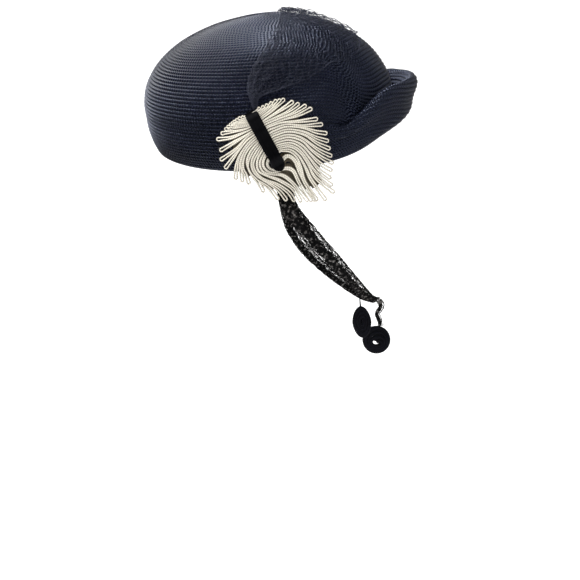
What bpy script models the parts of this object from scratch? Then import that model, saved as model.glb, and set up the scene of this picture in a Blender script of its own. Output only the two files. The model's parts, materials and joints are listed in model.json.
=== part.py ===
"""Tilt hat of sewn straw braid, with a rolled front brim, a net veil, a looped-cord cockade and a chin strap.

Metres, +Z up, +X to the wearer's face, +Y to the wearer's left. The origin is the top of the
wearer's head, where the crown's inner face rests on it. The hat is worn low over the right side.
"""

import math

import bpy
import numpy as np
from mathutils import Vector
from mathutils.bvhtree import BVHTree

# Sizes that can each be set by themselves
OPENING_LENGTH = 0.192
OPENING_WIDTH = 0.166
CROWN_DEPTH = 0.079
STRAW_WALL = 0.002
ROLL_RADIUS = 0.0053
ROLL_INNER = (-1.25, -0.9)  # the roll's face towards the crown, from its crest, in roll radii out and up
ROLL_OUTER = (0.65, -1.0)  # its face away from the crown
FOOT_SINK = 0.6  # how much of foot_height the crown's foot keeps behind the roll
SIDE_SWELL = 0.5  # how far a plain side bows out between its edge and belly, as a share of their offset
ROLLED_SIDE = (0.45, 0.4)  # a rolled side's middle, up and out, as shares of the edge-to-belly offset
SIDE_TILT = math.radians(33.0)
NOSE_UP = math.radians(6.0)
OPENING_CENTRE = Vector((-0.002, -0.009, -0.085))

VEIL_THREAD = 0.0007
VEIL_LIFT = 0.0010
VEIL_BAR = 0.17  # half of a thread's width, as a share of a mesh

COCKADE_RADIUS = 0.034
COCKADE_THICKNESS = 0.0042
COCKADE_RIM = 0.0015
COCKADE_LOOPS = 40
COCKADE_AZIMUTH = -95.0
COCKADE_ARC = 0.905
COCKADE_GROOVE = 0.0006
COCKADE_LEAN = math.radians(18.0)
COCKADE_CURVE = 0.16

RIBBON_WIDTH = 0.0078
RIBBON_THICKNESS = 0.0018
RIBBON_TURN = 0.0012
RIBBON_SLANT = math.radians(-29.2)
KNOT_LENGTH = 0.0085
KNOT_WIDTH = 0.0092
KNOT_HEIGHT = 0.0052

STRAP_WIDTH = 0.0100
STRAP_THICKNESS = 0.0022
STRAP_PLEAT = 0.0005
CHIN_FORWARD = 0.0729
CHIN_DROP = 0.2117
CHEEK_HALF_WIDTH = 0.0760
HEAD_MIDDLE = Vector((0.010, 0.0, -0.120))

TAPE_WIDTH = 0.0043
TAPE_THICKNESS = 0.0016
TAPE_DROP = 0.0178

ROUND_COIL_RADIUS = 0.0100
ROUND_COIL_THICKNESS = 0.0060
LEAF_COIL_LENGTH = 0.0232
LEAF_COIL_WIDTH = 0.0134
LEAF_COIL_THICKNESS = 0.0052
LEAF_COIL_LEAN = math.radians(-5.0)
LEAF_THREAD = 0.31  # the thread that hangs the leaf, as a share of LEAF_COIL_LENGTH
LEAF_POINT = 40  # how sharply the leaf's top draws out into its thread
COIL_WINDINGS = 3
COIL_GROOVE = 0.0006
COIL_HOLE = 0.0013
COIL_HOLE_DROP = 1.6  # how far the hole lies under the middle, in hole radii
COIL_SET_BACK = 0.0019
LEAF_PLACE = 0.30  # where on the strap the leaf hangs, right of the chin, as a share of CHEEK_HALF_WIDTH

AIR = 0.0003

# Mesh fineness
CROWN_SIDES = 56
STEPS_PER_KNOT = 2
FINE_STEPS = 12
NET_ALONG = 13
NET_ACROSS = 8
STRAP_STEPS = 46
BAND_SIDES = 8
COIL_SIDES = 20

# The crown and brim, one row for each section round the hat. Azimuths are degrees from the front, with
# the wearer's right side negative. edge, belly, foot, valley and crest are radii as shares of the head
# opening's radius there, and the heights are shares of CROWN_DEPTH over the edge. full rounds the
# dome: less than 1 is fuller. rolled is 1 where the brim is rolled up and 0 where it hangs plain.
SECTION_COLUMNS = (
    "azimuth", "edge", "belly", "belly_height", "full", "foot", "foot_height",
    "valley", "valley_height", "crest", "crest_height", "rolled",
)
SECTIONS = (
    (0, 0.80, 1.04, 0.24, 1.03, 0.89, 0.38, 0.905, 0.23, 1.035, 0.41, 1.0),
    (-20, 0.82, 1.00, 0.24, 1.03, 0.87, 0.38, 0.885, 0.24, 0.98, 0.43, 1.0),
    (-35, 0.85, 0.95, 0.20, 1.00, 0.86, 0.38, 0.87, 0.22, 0.95, 0.43, 1.0),
    (-50, 0.90, 0.94, 0.18, 0.98, 0.88, 0.36, 0.90, 0.18, 0.95, 0.33, 0.9),
    (-65, 0.95, 0.98, 0.20, 0.92, 0.93, 0.36, 0.95, 0.20, 0.99, 0.22, 0.4),
    (-85, 0.98, 1.01, 0.28, 0.86, 0.95, 0.40, 1.00, 0.32, 1.03, 0.28, 0.0),
    (-120, 0.95, 0.99, 0.30, 0.89, 0.95, 0.40, 1.00, 0.32, 1.03, 0.28, 0.0),
    (-150, 0.93, 0.98, 0.32, 0.94, 0.95, 0.40, 1.00, 0.32, 1.03, 0.28, 0.0),
    (180, 0.94, 0.965, 0.34, 0.95, 0.95, 0.40, 1.00, 0.32, 1.03, 0.28, 0.0),
    (150, 0.95, 0.98, 0.32, 0.94, 0.95, 0.40, 1.00, 0.32, 1.03, 0.28, 0.0),
    (120, 0.99, 1.02, 0.28, 0.88, 0.95, 0.40, 1.00, 0.32, 1.03, 0.28, 0.0),
    (85, 1.01, 1.04, 0.28, 0.88, 0.95, 0.40, 1.00, 0.32, 1.03, 0.28, 0.0),
    (60, 0.97, 1.00, 0.26, 0.92, 0.90, 0.36, 0.95, 0.24, 1.00, 0.26, 0.3),
    (35, 0.89, 0.99, 0.22, 0.98, 0.87, 0.38, 0.89, 0.22, 0.99, 0.33, 1.0),
    (18, 0.83, 1.02, 0.22, 1.02, 0.88, 0.38, 0.90, 0.22, 1.02, 0.39, 1.0),
)
# How far along the dome's quarter turn its knots lie, where the brim hangs plain and where it is rolled
PLAIN_TURNS = (0.0, 0.12, 0.27, 0.45, 0.62, 0.78, 0.90, 0.96)
ROLLED_TURNS = (0.0, 0.14, 0.34, 0.58, 0.80)
# How far down from the belly to the edge a plain side's two knots lie
PLAIN_SIDE = (0.35, 0.7)

# Soft dents pressed into the crown. arc is the share of the way from the crown's centre to the edge,
# the spreads are how wide the dent is, and depth is a share of CROWN_DEPTH.
DENT_COLUMNS = ("azimuth", "arc", "azimuth_spread", "arc_spread", "depth")
DENTS = (
    (-84, 0.62, 24, 0.10, 0.040),
    (-38, 0.44, 8, 0.11, 0.030),
    (-150, 0.50, 22, 0.10, 0.014),
)

# The veil, one row for each line across it, from its gathered end under the ribbon, up the side, over
# the crown's top and down to its hem on the far side. Each end of a line is a place on the crown.
VEIL_COLUMNS = ("back_azimuth", "back_arc", "front_azimuth", "front_arc")
VEIL_LINES = (
    (-101, 0.690, -97, 0.682),
    (-102, 0.640, -87, 0.650),
    (-100, 0.560, -74, 0.610),
    (-95, 0.490, -60, 0.540),
    (-88, 0.390, -47, 0.450),
    (-78, 0.240, -24, 0.390),
    (46, 0.110, -9, 0.340),
    (76, 0.260, 16, 0.380),
    (84, 0.400, 34, 0.460),
)
GATHERED_LINES = 1

# The cockade's outline, one row for each direction from its middle, in degrees anticlockwise from the
# front as seen on the wearer's right, with its reach as a share of COCKADE_RADIUS
COCKADE_COLUMNS = ("direction", "reach")
COCKADE_OUTLINE = (
    (2, 1.05), (16, 1.03), (33, 0.98), (51, 0.96), (66, 0.89), (82, 0.83), (95, 0.75), (107, 0.70),
    (128, 0.70), (142, 0.78), (155, 0.86), (168, 0.94), (181, 0.87), (202, 0.86), (221, 0.79),
    (235, 0.72), (250, 0.72), (279, 0.87), (288, 0.93), (301, 1.05), (312, 1.22), (326, 1.345),
    (348, 1.12),
)
COCKADE_RINGS = (0.34, 0.66, 1.0)
LOOP_CUT = 0.13  # depth of the cut between two loops, as a share of the reach
LOOP_SWIRL = 14.0  # degrees that the loops turn from the middle to the rim
LOOP_SKEW = 0.35  # how far a loop's top leans to one side, as a share of a step between its points

# The ribbon's rolled knot, from where the ribbon ends to the knot's foot: run is a share of KNOT_LENGTH,
# width of KNOT_WIDTH, and swell goes from the ribbon's thickness at 0 to KNOT_HEIGHT at 1
KNOT_COLUMNS = ("run", "width", "swell")
KNOT_SHAPE = (
    (0.00, 0.86, 0.0),
    (0.22, 0.96, 0.35),
    (0.42, 1.00, 0.75),
    (0.62, 0.90, 1.0),
    (0.80, 0.72, 0.85),
    (0.93, 0.45, 0.50),
    (1.00, 0.16, 0.18),
)
# Where the knot starts, across and up from the cockade's middle, as shares of COCKADE_RADIUS
KNOT_PLACE = (0.095, -0.095)

# The chin strap's way round the head. forward is a share of CHIN_FORWARD, side of CHEEK_HALF_WIDTH,
# drop of CHIN_DROP and width of STRAP_WIDTH. The right side comes first, and its two ends are worked
# out from the hat's edge.
STRAP_COLUMNS = ("forward", "side", "drop", "width")
STRAP_ROUTE = (
    (0.07, -0.970, 0.706, 1.00),
    (0.25, -0.921, 0.790, 1.00),
    (0.475, -0.763, 0.867, 0.92),
    (0.709, -0.474, 0.940, 0.78),
    (0.894, -0.197, 0.990, 0.66),
    (1.000, 0.000, 1.000, 0.64),
    (0.900, 0.210, 0.988, 0.66),
    (0.709, 0.500, 0.936, 0.78),
    (0.470, 0.780, 0.860, 0.92),
    (0.250, 0.930, 0.775, 1.00),
    (0.090, 1.000, 0.680, 1.00),
    (0.010, 1.010, 0.560, 1.00),
    (-0.040, 0.985, 0.440, 1.00),
    (-0.070, 0.925, 0.335, 1.00),
)
STRAP_TUCK = 0.011
STRAP_ENDS = (-88.0, 92.0)  # azimuths of the two ends inside the hat's edge, right and left
STRAP_LEAVES = 0.999  # the share of arc at which the strap comes out under the edge

# The loose end of the tape, as shares of TAPE_DROP: how far forward of its start and how far down
TAPE_COLUMNS = ("forward", "drop")
TAPE_ROUTE = (
    (0.00, 0.00), (0.10, 0.13), (0.11, 0.28), (-0.04, 0.52), (0.04, 0.72), (0.08, 0.87), (0.08, 1.00)
)


def rows_of(columns, table):
    """The table as a list of dicts by column name."""
    return [dict(zip(columns, row)) for row in table]


def round_curve(angles, values, at):
    """Smooth periodic curve through values at angles in degrees, read at the angle at."""
    order = np.argsort(np.mod(angles, 360.0))
    keys = np.mod(np.asarray(angles, float)[order], 360.0)
    held = np.asarray(values, float)[order]
    keys = np.concatenate([keys[-2:] - 360.0, keys, keys[:2] + 360.0])
    held = np.concatenate([held[-2:], held, held[:2]])
    turn = at % 360.0
    i = int(np.clip(np.searchsorted(keys, turn, side="right") - 1, 1, len(keys) - 3))
    span = keys[i + 1] - keys[i]
    t = (turn - keys[i]) / span
    leave = (held[i + 1] - held[i - 1]) / (keys[i + 1] - keys[i - 1]) * span
    reach = (held[i + 2] - held[i]) / (keys[i + 2] - keys[i]) * span
    return (
        (2 * t**3 - 3 * t**2 + 1) * held[i]
        + (t**3 - 2 * t**2 + t) * leave
        + (3 * t**2 - 2 * t**3) * held[i + 1]
        + (t**3 - t**2) * reach
    )


def smooth_curve(points, steps):
    """Catmull-Rom curve through the points, with steps pieces in each span."""
    points = np.asarray(points, float)
    held = np.vstack([2 * points[0] - points[1], points, 2 * points[-1] - points[-2]])
    out = []
    for before, start, end, after in zip(held, held[1:], held[2:], held[3:]):
        for t in np.arange(steps) / steps:
            out.append(
                0.5
                * (
                    2 * start
                    + (end - before) * t
                    + (2 * before - 5 * start + 4 * end - after) * t**2
                    + (3 * start - before - 3 * end + after) * t**3
                )
            )
    out.append(points[-1])
    return np.array(out)


def along_curve(curve, count):
    """count points spread evenly along the curve."""
    steps = np.linalg.norm(np.diff(curve, axis=0), axis=1)
    run = np.concatenate([[0.0], np.cumsum(steps)])
    wanted = np.linspace(0.0, run[-1], count)
    return np.stack([np.interp(wanted, run, curve[:, j]) for j in range(curve.shape[1])], axis=1)


class Hat:
    """The straw surface: sections round the head opening, tilted as the hat is worn."""

    def __init__(self):
        self.sections = rows_of(SECTION_COLUMNS, SECTIONS)
        self.dents = rows_of(DENT_COLUMNS, DENTS)
        self.azimuths = [row["azimuth"] for row in self.sections]
        self.curves = {}

    def share(self, column, azimuth):
        return round_curve(self.azimuths, [row[column] for row in self.sections], azimuth)

    def opening_radius(self, azimuth):
        turn = math.radians(azimuth)
        return 1.0 / math.hypot(math.cos(turn) / (OPENING_LENGTH / 2), math.sin(turn) / (OPENING_WIDTH / 2))

    def knots(self, azimuth):
        """Knots of the outer face, from the crown's centre to the edge, as radius and height."""
        radius = self.opening_radius(azimuth)
        share = {name: self.share(name, azimuth) for name in SECTION_COLUMNS[1:]}
        edge = np.array([radius * share["edge"], 0.0])
        belly = np.array([radius * share["belly"], CROWN_DEPTH * share["belly_height"]])
        valley = np.array([radius * share["valley"], CROWN_DEPTH * share["valley_height"]])
        crest = np.array([radius * share["crest"], CROWN_DEPTH * share["crest_height"]])
        foot = np.array([radius * share["foot"], FOOT_SINK * CROWN_DEPTH * share["foot_height"]])

        def dome(turn, rim):
            angle = turn * math.pi / 2
            out = rim[0] * math.sin(angle) ** share["full"]
            up = rim[1] + (CROWN_DEPTH - rim[1]) * math.cos(angle) ** share["full"]
            return np.array([out, up])

        def rolled_dome(turn):
            angle = turn * math.pi / 2
            out = foot[0] * math.sin(angle) ** share["full"]
            up = CROWN_DEPTH + (foot[1] - CROWN_DEPTH) * (1.0 - math.cos(angle) ** share["full"])
            return np.array([out, up])

        drop = belly - edge
        plain = [dome(turn, belly) for turn in PLAIN_TURNS] + [belly]
        plain += [
            belly - drop * part + np.array([drop[0] * SIDE_SWELL * math.sin(math.pi * part), 0.0])
            for part in PLAIN_SIDE
        ]
        plain += [edge]
        inward = np.array(ROLL_INNER) * ROLL_RADIUS
        outward = np.array(ROLL_OUTER) * ROLL_RADIUS
        rolled = [rolled_dome(turn) for turn in ROLLED_TURNS]
        rolled += [valley, crest + inward, crest, crest + outward, belly]
        rolled += [edge + drop * ROLLED_SIDE[0] + np.array([drop[0] * ROLLED_SIDE[1], 0.0]), edge]
        blend = share["rolled"]
        return np.array(plain) * (1.0 - blend) + np.array(rolled) * blend

    def meridian(self, azimuth):
        """A fine curve through the knots, its share of arc at each point, and its outward direction."""
        key = round(azimuth % 360.0, 4)
        if key not in self.curves:
            curve = smooth_curve(self.knots(azimuth), FINE_STEPS)
            steps = np.linalg.norm(np.diff(curve, axis=0), axis=1)
            arc = np.concatenate([[0.0], np.cumsum(steps)]) / steps.sum()
            ahead = np.gradient(curve, axis=0)
            ahead[0] = (1.0, 0.0)
            out = np.stack([-ahead[:, 1], ahead[:, 0]], axis=1)
            out /= np.linalg.norm(out, axis=1)[:, None]
            for dent in self.dents:
                turn = (azimuth - dent["azimuth"] + 180.0) % 360.0 - 180.0
                press = np.exp(
                    -((turn / dent["azimuth_spread"]) ** 2) - ((arc - dent["arc"]) / dent["arc_spread"]) ** 2
                )
                curve = curve - out * (press * dent["depth"] * CROWN_DEPTH)[:, None]
            self.curves[key] = (curve, arc)
        return self.curves[key]

    def worn(self, point):
        """A point of the upright hat, where it is when the hat is worn."""
        x, y, z = point
        y, z = (
            y * math.cos(SIDE_TILT) - z * math.sin(SIDE_TILT),
            y * math.sin(SIDE_TILT) + z * math.cos(SIDE_TILT),
        )
        x, z = (
            x * math.cos(NOSE_UP) - z * math.sin(NOSE_UP),
            x * math.sin(NOSE_UP) + z * math.cos(NOSE_UP),
        )
        return Vector((x, y, z)) + OPENING_CENTRE

    def at(self, azimuth, arc):
        """The point of the outer face at an azimuth in degrees and a share of arc."""
        curve, shares = self.meridian(azimuth)
        radius = float(np.interp(arc, shares, curve[:, 0]))
        height = float(np.interp(arc, shares, curve[:, 1]))
        turn = math.radians(azimuth)
        return self.worn((radius * math.cos(turn), radius * math.sin(turn), height))

    def lifted(self, azimuth, arc, lift):
        """The point this far off the outer face, along its outward direction."""
        small = 0.02
        inner = max(arc - small, 0.004)
        outer = min(arc + small, 1.0)
        down = self.at(azimuth, outer) - self.at(azimuth, inner)
        round_way = self.at(azimuth + 2.0, max(arc, 0.02)) - self.at(azimuth - 2.0, max(arc, 0.02))
        out = down.cross(round_way)
        return self.at(azimuth, arc) + out.normalized() * lift

    def rings(self):
        """The outer face as rings of points, from the first ring round the centre to the edge."""
        spans = len(PLAIN_TURNS) + 3
        stride = FINE_STEPS // STEPS_PER_KNOT
        rings = []
        for step in range(1, spans * STEPS_PER_KNOT + 1):
            ring = []
            for side in range(CROWN_SIDES):
                azimuth = side * 360.0 / CROWN_SIDES
                curve, _ = self.meridian(azimuth)
                radius, height = curve[step * stride]
                turn = math.radians(azimuth)
                ring.append(self.worn((radius * math.cos(turn), radius * math.sin(turn), height)))
            rings.append(ring)
        return rings


def make_material(name, colour, roughness, sheen=0.0):
    material = bpy.data.materials.new(name)
    material.use_nodes = True
    shader = material.node_tree.nodes["Principled BSDF"]
    shader.inputs["Base Color"].default_value = (*colour, 1.0)
    shader.inputs["Roughness"].default_value = roughness
    shader.inputs["Metallic"].default_value = 0.0
    shader.inputs["Sheen Weight"].default_value = sheen
    material.diffuse_color = (*colour, 1.0)
    return material


def make_object(name, points, faces, material):
    """An object of these faces, with its origin at the hat's own."""
    mesh = bpy.data.meshes.new(name)
    mesh.from_pydata([tuple(point) for point in points], [], faces)
    mesh.shade_smooth()
    mesh.set_sharp_from_angle(angle=math.radians(40.0))
    mesh.materials.append(material)
    obj = bpy.data.objects.new(name, mesh)
    bpy.context.scene.collection.objects.link(obj)
    return obj


def ring_strip(first, second, count):
    """Quads between two rings of count points, given where each ring's points start."""
    return [
        (first + i, second + i, second + (i + 1) % count, first + (i + 1) % count) for i in range(count)
    ]


def make_crown(hat, material):
    """The crown and brim as one wall, open below."""
    rings = hat.rings()
    apex = hat.at(0.0, 0.0)
    outer = [apex] + [point for ring in rings for point in ring]
    sides = CROWN_SIDES
    faces = [(0, 1 + i, 1 + (i + 1) % sides) for i in range(sides)]
    for level in range(len(rings) - 1):
        faces += ring_strip(1 + level * sides, 1 + (level + 1) * sides, sides)
    skin = bpy.data.meshes.new("straw_skin")
    skin.from_pydata([tuple(point) for point in outer], [], faces)
    inner = [
        point - vertex.normal * STRAW_WALL for point, vertex in zip(outer, skin.vertices, strict=True)
    ]
    bpy.data.meshes.remove(skin)
    start = len(outer)
    back = [tuple(start + i for i in reversed(face)) for face in faces]
    last = 1 + (len(rings) - 1) * sides
    rim = [
        (last + i, start + last + i, start + last + (i + 1) % sides, last + (i + 1) % sides)
        for i in range(sides)
    ]
    return make_object("straw_crown", outer + inner, faces + back + rim, material)


def arc_map(azimuth, arc):
    """A flat map of the crown in which the crown's centre is an ordinary point."""
    turn = math.radians(azimuth)
    return np.array([arc * math.cos(turn), arc * math.sin(turn)])


def make_veil(hat, material):
    """The net: a thin skin over the crown, cut through between its threads."""
    lines = rows_of(VEIL_COLUMNS, VEIL_LINES)
    ends = [
        (*arc_map(line["back_azimuth"], line["back_arc"]), *arc_map(line["front_azimuth"], line["front_arc"]))
        for line in lines
    ]
    cells_along = NET_ALONG + GATHERED_LINES
    ends = along_curve(smooth_curve(ends, FINE_STEPS), cells_along + 1)

    def place(along, across):
        line = np.array([np.interp(along, range(cells_along + 1), ends[:, j]) for j in range(4)])
        flat = line[:2] + (line[2:] - line[:2]) * across / NET_ACROSS
        return math.degrees(math.atan2(flat[1], flat[0])), float(np.hypot(*flat))

    points = []
    faces = []
    index = {}

    def corner(along, across, side):
        key = (round(along, 3), round(across, 3), side)
        if key not in index:
            index[key] = len(points)
            azimuth, arc = place(along, across)
            points.append(hat.lifted(azimuth, arc, VEIL_LIFT + side * VEIL_THREAD))
        return index[key]

    inset = VEIL_BAR
    for along in range(cells_along):
        for across in range(NET_ACROSS):
            outer = [(along, across), (along, across + 1), (along + 1, across + 1), (along + 1, across)]
            hole = [
                (along + inset, across + inset),
                (along + inset, across + 1 - inset),
                (along + 1 - inset, across + 1 - inset),
                (along + 1 - inset, across + inset),
            ]
            if along < GATHERED_LINES:
                faces.append(tuple(corner(*spot, 1) for spot in outer))
                faces.append(tuple(corner(*spot, 0) for spot in reversed(outer)))
                continue
            for i in range(4):
                j = (i + 1) % 4
                top = (corner(*outer[i], 1), corner(*outer[j], 1), corner(*hole[j], 1), corner(*hole[i], 1))
                low = (corner(*outer[j], 0), corner(*outer[i], 0), corner(*hole[i], 0), corner(*hole[j], 0))
                wall = (corner(*hole[i], 1), corner(*hole[j], 1), corner(*hole[j], 0), corner(*hole[i], 0))
                faces += [top, low, wall]
    border = [(0, i) for i in range(NET_ACROSS)]
    border += [(i, NET_ACROSS) for i in range(cells_along)]
    border += [(cells_along, NET_ACROSS - i) for i in range(NET_ACROSS)]
    border += [(cells_along - i, 0) for i in range(cells_along)]
    for i, spot in enumerate(border):
        after = border[(i + 1) % len(border)]
        faces.append((corner(*after, 1), corner(*spot, 1), corner(*spot, 0), corner(*after, 0)))
    return make_object("veil", points, faces, material)


class Cockade:
    """The looped-cord rosette: where it lies against the hat and how high it stands."""

    def __init__(self, hat, crown):
        outline = rows_of(COCKADE_COLUMNS, COCKADE_OUTLINE)
        self.directions = [row["direction"] for row in outline]
        self.reaches = [row["reach"] for row in outline]
        self.middle = hat.at(COCKADE_AZIMUTH, COCKADE_ARC)
        self.front = Vector((0.0, -math.cos(COCKADE_LEAN), -math.sin(COCKADE_LEAN)))
        self.up = Vector((0.0, -math.sin(COCKADE_LEAN), math.cos(COCKADE_LEAN)))
        self.across = Vector((1.0, 0.0, 0.0))
        mesh = crown.data
        self.hat_faces = BVHTree.FromPolygons(
            [vertex.co for vertex in mesh.vertices], [tuple(face.vertices) for face in mesh.polygons]
        )
        self.stand = 0.0
        samples = [
            (direction, share) for direction in range(0, 360, 5) for share in np.linspace(0.0, 1.0, 9)
        ]
        self.stand = AIR + max(
            self.hat_height(*self.flat(direction, share)) - self.back_height(*self.flat(direction, share))
            for direction, share in samples
        )

    def reach(self, direction):
        return COCKADE_RADIUS * round_curve(self.directions, self.reaches, direction)

    def flat(self, direction, share):
        """Place across and up from the middle, at a share of the reach in this direction."""
        turn = math.radians(direction)
        out = self.reach(direction) * share
        return out * math.cos(turn), out * math.sin(turn)

    def spot(self, across, up, height):
        return self.middle + self.across * across + self.up * up + self.front * height

    def hat_height(self, across, up):
        """How far the straw stands towards the front of the cockade at this place."""
        far = 0.2
        start = self.spot(across, up, far)
        hit = self.hat_faces.ray_cast(start, -self.front)
        return -far if hit[0] is None else far - hit[3]

    def back_height(self, across, up):
        return self.stand - across**2 / (2 * COCKADE_CURVE)

    def front_height(self, across, up):
        """Height of the loops' tops: a low dome over the back."""
        direction = math.degrees(math.atan2(up, across))
        share = min(math.hypot(across, up) / self.reach(direction), 1.0)
        swell = (COCKADE_THICKNESS - COCKADE_RIM) * (1.0 - share**2)
        return self.back_height(across, up) + COCKADE_RIM + swell

    def covers(self, across, up):
        """Whether the cockade reaches this place, with a little air round it."""
        return math.hypot(across, up) <= self.reach(math.degrees(math.atan2(up, across))) + AIR

    def top(self, across, up):
        """The highest of the cockade and the straw here, for what lies over both."""
        height = self.hat_height(across, up)
        return max(height, self.front_height(across, up)) if self.covers(across, up) else height


def make_cockade(cockade, material):
    """Loops of cord laid side by side, fused to their backing, with a groove and a cut between loops."""
    per_loop = 3
    count = COCKADE_LOOPS * per_loop
    points = [cockade.spot(0.0, 0.0, cockade.front_height(0.0, 0.0))]
    for share in COCKADE_RINGS:
        for i in range(count):
            between = i % per_loop == 0
            direction = (i + (LOOP_SKEW if i % per_loop == 1 else 0.0)) * 360.0 / count
            direction -= LOOP_SWIRL * (1.0 - share)
            cut = LOOP_CUT if between and share == COCKADE_RINGS[-1] else 0.0
            across, up = cockade.flat(direction, share - cut)
            height = cockade.front_height(across, up) - (COCKADE_GROOVE if between else 0.0)
            points.append(cockade.spot(across, up, height))
    back = len(points)
    for front in points[:]:
        across = (front - cockade.middle).dot(cockade.across)
        up = (front - cockade.middle).dot(cockade.up)
        points.append(cockade.spot(across, up, cockade.back_height(across, up)))
    fan = [(0, 1 + i, 1 + (i + 1) % count) for i in range(count)]
    for level in range(len(COCKADE_RINGS) - 1):
        fan += ring_strip(1 + level * count, 1 + (level + 1) * count, count)
    rim = 1 + (len(COCKADE_RINGS) - 1) * count
    faces = fan + [tuple(back + i for i in reversed(face)) for face in fan]
    faces += ring_strip(rim, back + rim, count)
    return make_object("cockade", points, faces, material)


def band(stations, sides):
    """Points and faces of a closed band through stations of (middle, width way, height way, width, height)."""
    points = []
    faces = []
    for middle, wide, high, width, height in stations:
        for i in range(sides):
            turn = 2 * math.pi * (i + 0.5) / sides
            x, y = math.cos(turn), math.sin(turn)
            square = max(abs(x), abs(y)) ** 0.6
            points.append(middle + wide * (x / square * width / 2) + high * (y / square * height / 2))
    for level in range(len(stations) - 1):
        faces += ring_strip(level * sides, (level + 1) * sides, sides)
    faces.append(tuple(range(sides)))
    last = (len(stations) - 1) * sides
    faces.append(tuple(last + i for i in reversed(range(sides))))
    return points, faces


def facing_out(points, faces):
    """The faces, turned round if the body they close is inside out."""
    volume = 0.0
    for face in faces:
        for i in range(1, len(face) - 1):
            volume += points[face[0]].dot(points[face[i]].cross(points[face[i + 1]]))
    return faces if volume > 0 else [tuple(reversed(face)) for face in faces]


def make_ribbon(cockade, material):
    """The velvet ribbon over the loops, from the veil's gathers down to the rolled knot."""
    way = Vector((math.sin(RIBBON_SLANT), math.cos(RIBBON_SLANT)))
    side = Vector((way.y, -way.x))
    foot = Vector(KNOT_PLACE) * COCKADE_RADIUS
    run = 0.0
    while cockade.covers(*(foot + way * run)):
        run += AIR / 2
    stations = []

    def station(place, width, height):
        rest = max(
            cockade.top(*(place + side * (width / 2 * part))) for part in (-1.0, -0.5, 0.0, 0.5, 1.0)
        )
        middle = cockade.spot(place.x, place.y, rest + AIR + height / 2)
        wide = cockade.across * side.x + cockade.up * side.y
        stations.append((middle, wide, cockade.front, width, height))

    station(foot + way * (run + RIBBON_TURN), RIBBON_WIDTH, RIBBON_THICKNESS)
    for share in (1.0, 0.92, 0.8, 0.65, 0.5, 0.35, 0.2):
        station(foot + way * (run * share - AIR), RIBBON_WIDTH, RIBBON_THICKNESS)
    for stop in rows_of(KNOT_COLUMNS, KNOT_SHAPE):
        height = RIBBON_THICKNESS + (KNOT_HEIGHT - RIBBON_THICKNESS) * stop["swell"]
        station(foot - way * (KNOT_LENGTH * stop["run"]), KNOT_WIDTH * stop["width"], height)
    points, faces = band(stations, BAND_SIDES)
    return make_object("velvet_ribbon", points, facing_out(points, faces), material)


def strap_route(hat):
    """The strap's middle line, its width share and its outward direction, from one side of the hat to the other."""
    inside = STRAW_WALL + 2 * AIR + STRAP_THICKNESS / 2 + STRAP_PLEAT
    near_edge = 0.1
    right, left = STRAP_ENDS
    tuck = STRAP_TUCK * near_edge / (hat.at(right, 1.0) - hat.at(right, 1.0 - near_edge)).length

    def tucked(azimuth, arc):
        middle = hat.lifted(azimuth, arc, -inside)
        return (*middle, 1.0, *(hat.at(azimuth, arc) - middle).normalized())

    rows = [tucked(right, 1.0 - tuck), tucked(right, 1.0 - tuck / 2), tucked(right, STRAP_LEAVES)]
    for stop in rows_of(STRAP_COLUMNS, STRAP_ROUTE):
        middle = Vector(
            (stop["forward"] * CHIN_FORWARD, stop["side"] * CHEEK_HALF_WIDTH, -stop["drop"] * CHIN_DROP)
        )
        rows.append((*middle, stop["width"], *(middle - HEAD_MIDDLE).normalized()))
    rows += [tucked(left, STRAP_LEAVES), tucked(left, 1.0 - tuck / 2), tucked(left, 1.0 - tuck)]
    return smooth_curve(rows, FINE_STEPS)


def make_strap(hat, material):
    """The chin strap: a whole loop of gathered tape from one side of the hat under the chin to the other."""
    route = along_curve(strap_route(hat), STRAP_STEPS + 1)
    stations = []
    for i, row in enumerate(route):
        ahead = Vector(route[min(i + 1, STRAP_STEPS)][:3]) - Vector(route[max(i - 1, 0)][:3])
        ahead.normalize()
        out = Vector(row[4:])
        out = (out - ahead * out.dot(ahead)).normalized()
        pleat = STRAP_PLEAT * (1 if i % 2 else -1)
        width = STRAP_WIDTH * row[3] + pleat
        stations.append((Vector(row[:3]), ahead.cross(out), out, width, STRAP_THICKNESS + pleat))
    points, faces = band(stations, BAND_SIDES)
    make_object("chin_strap", points, facing_out(points, faces), material)
    return stations


def make_tape(chin, material):
    """The strap's loose end, from under the chin down to the round coil. It gives back its lower end."""
    middle, _, out, _, thickness = chin
    start = middle + out * (thickness / 2 + AIR)
    stops = rows_of(TAPE_COLUMNS, TAPE_ROUTE)
    curve = smooth_curve(
        [(start.x + stop["forward"] * TAPE_DROP, start.z - stop["drop"] * TAPE_DROP) for stop in stops], 3
    )
    stations = []
    for i, (x, z) in enumerate(curve):
        before, after = curve[max(i - 1, 0)], curve[min(i + 1, len(curve) - 1)]
        ahead = Vector((after[0] - before[0], 0.0, after[1] - before[1])).normalized()
        wide = Vector((0.0, 1.0, 0.0)).cross(ahead).normalized()
        stations.append((Vector((x, start.y, z)), wide, Vector((0.0, 1.0, 0.0)), TAPE_WIDTH, TAPE_THICKNESS))
    points, faces = band(stations, BAND_SIDES)
    make_object("tape_end", points, facing_out(points, faces), material)
    return stations[-1][0]


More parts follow.
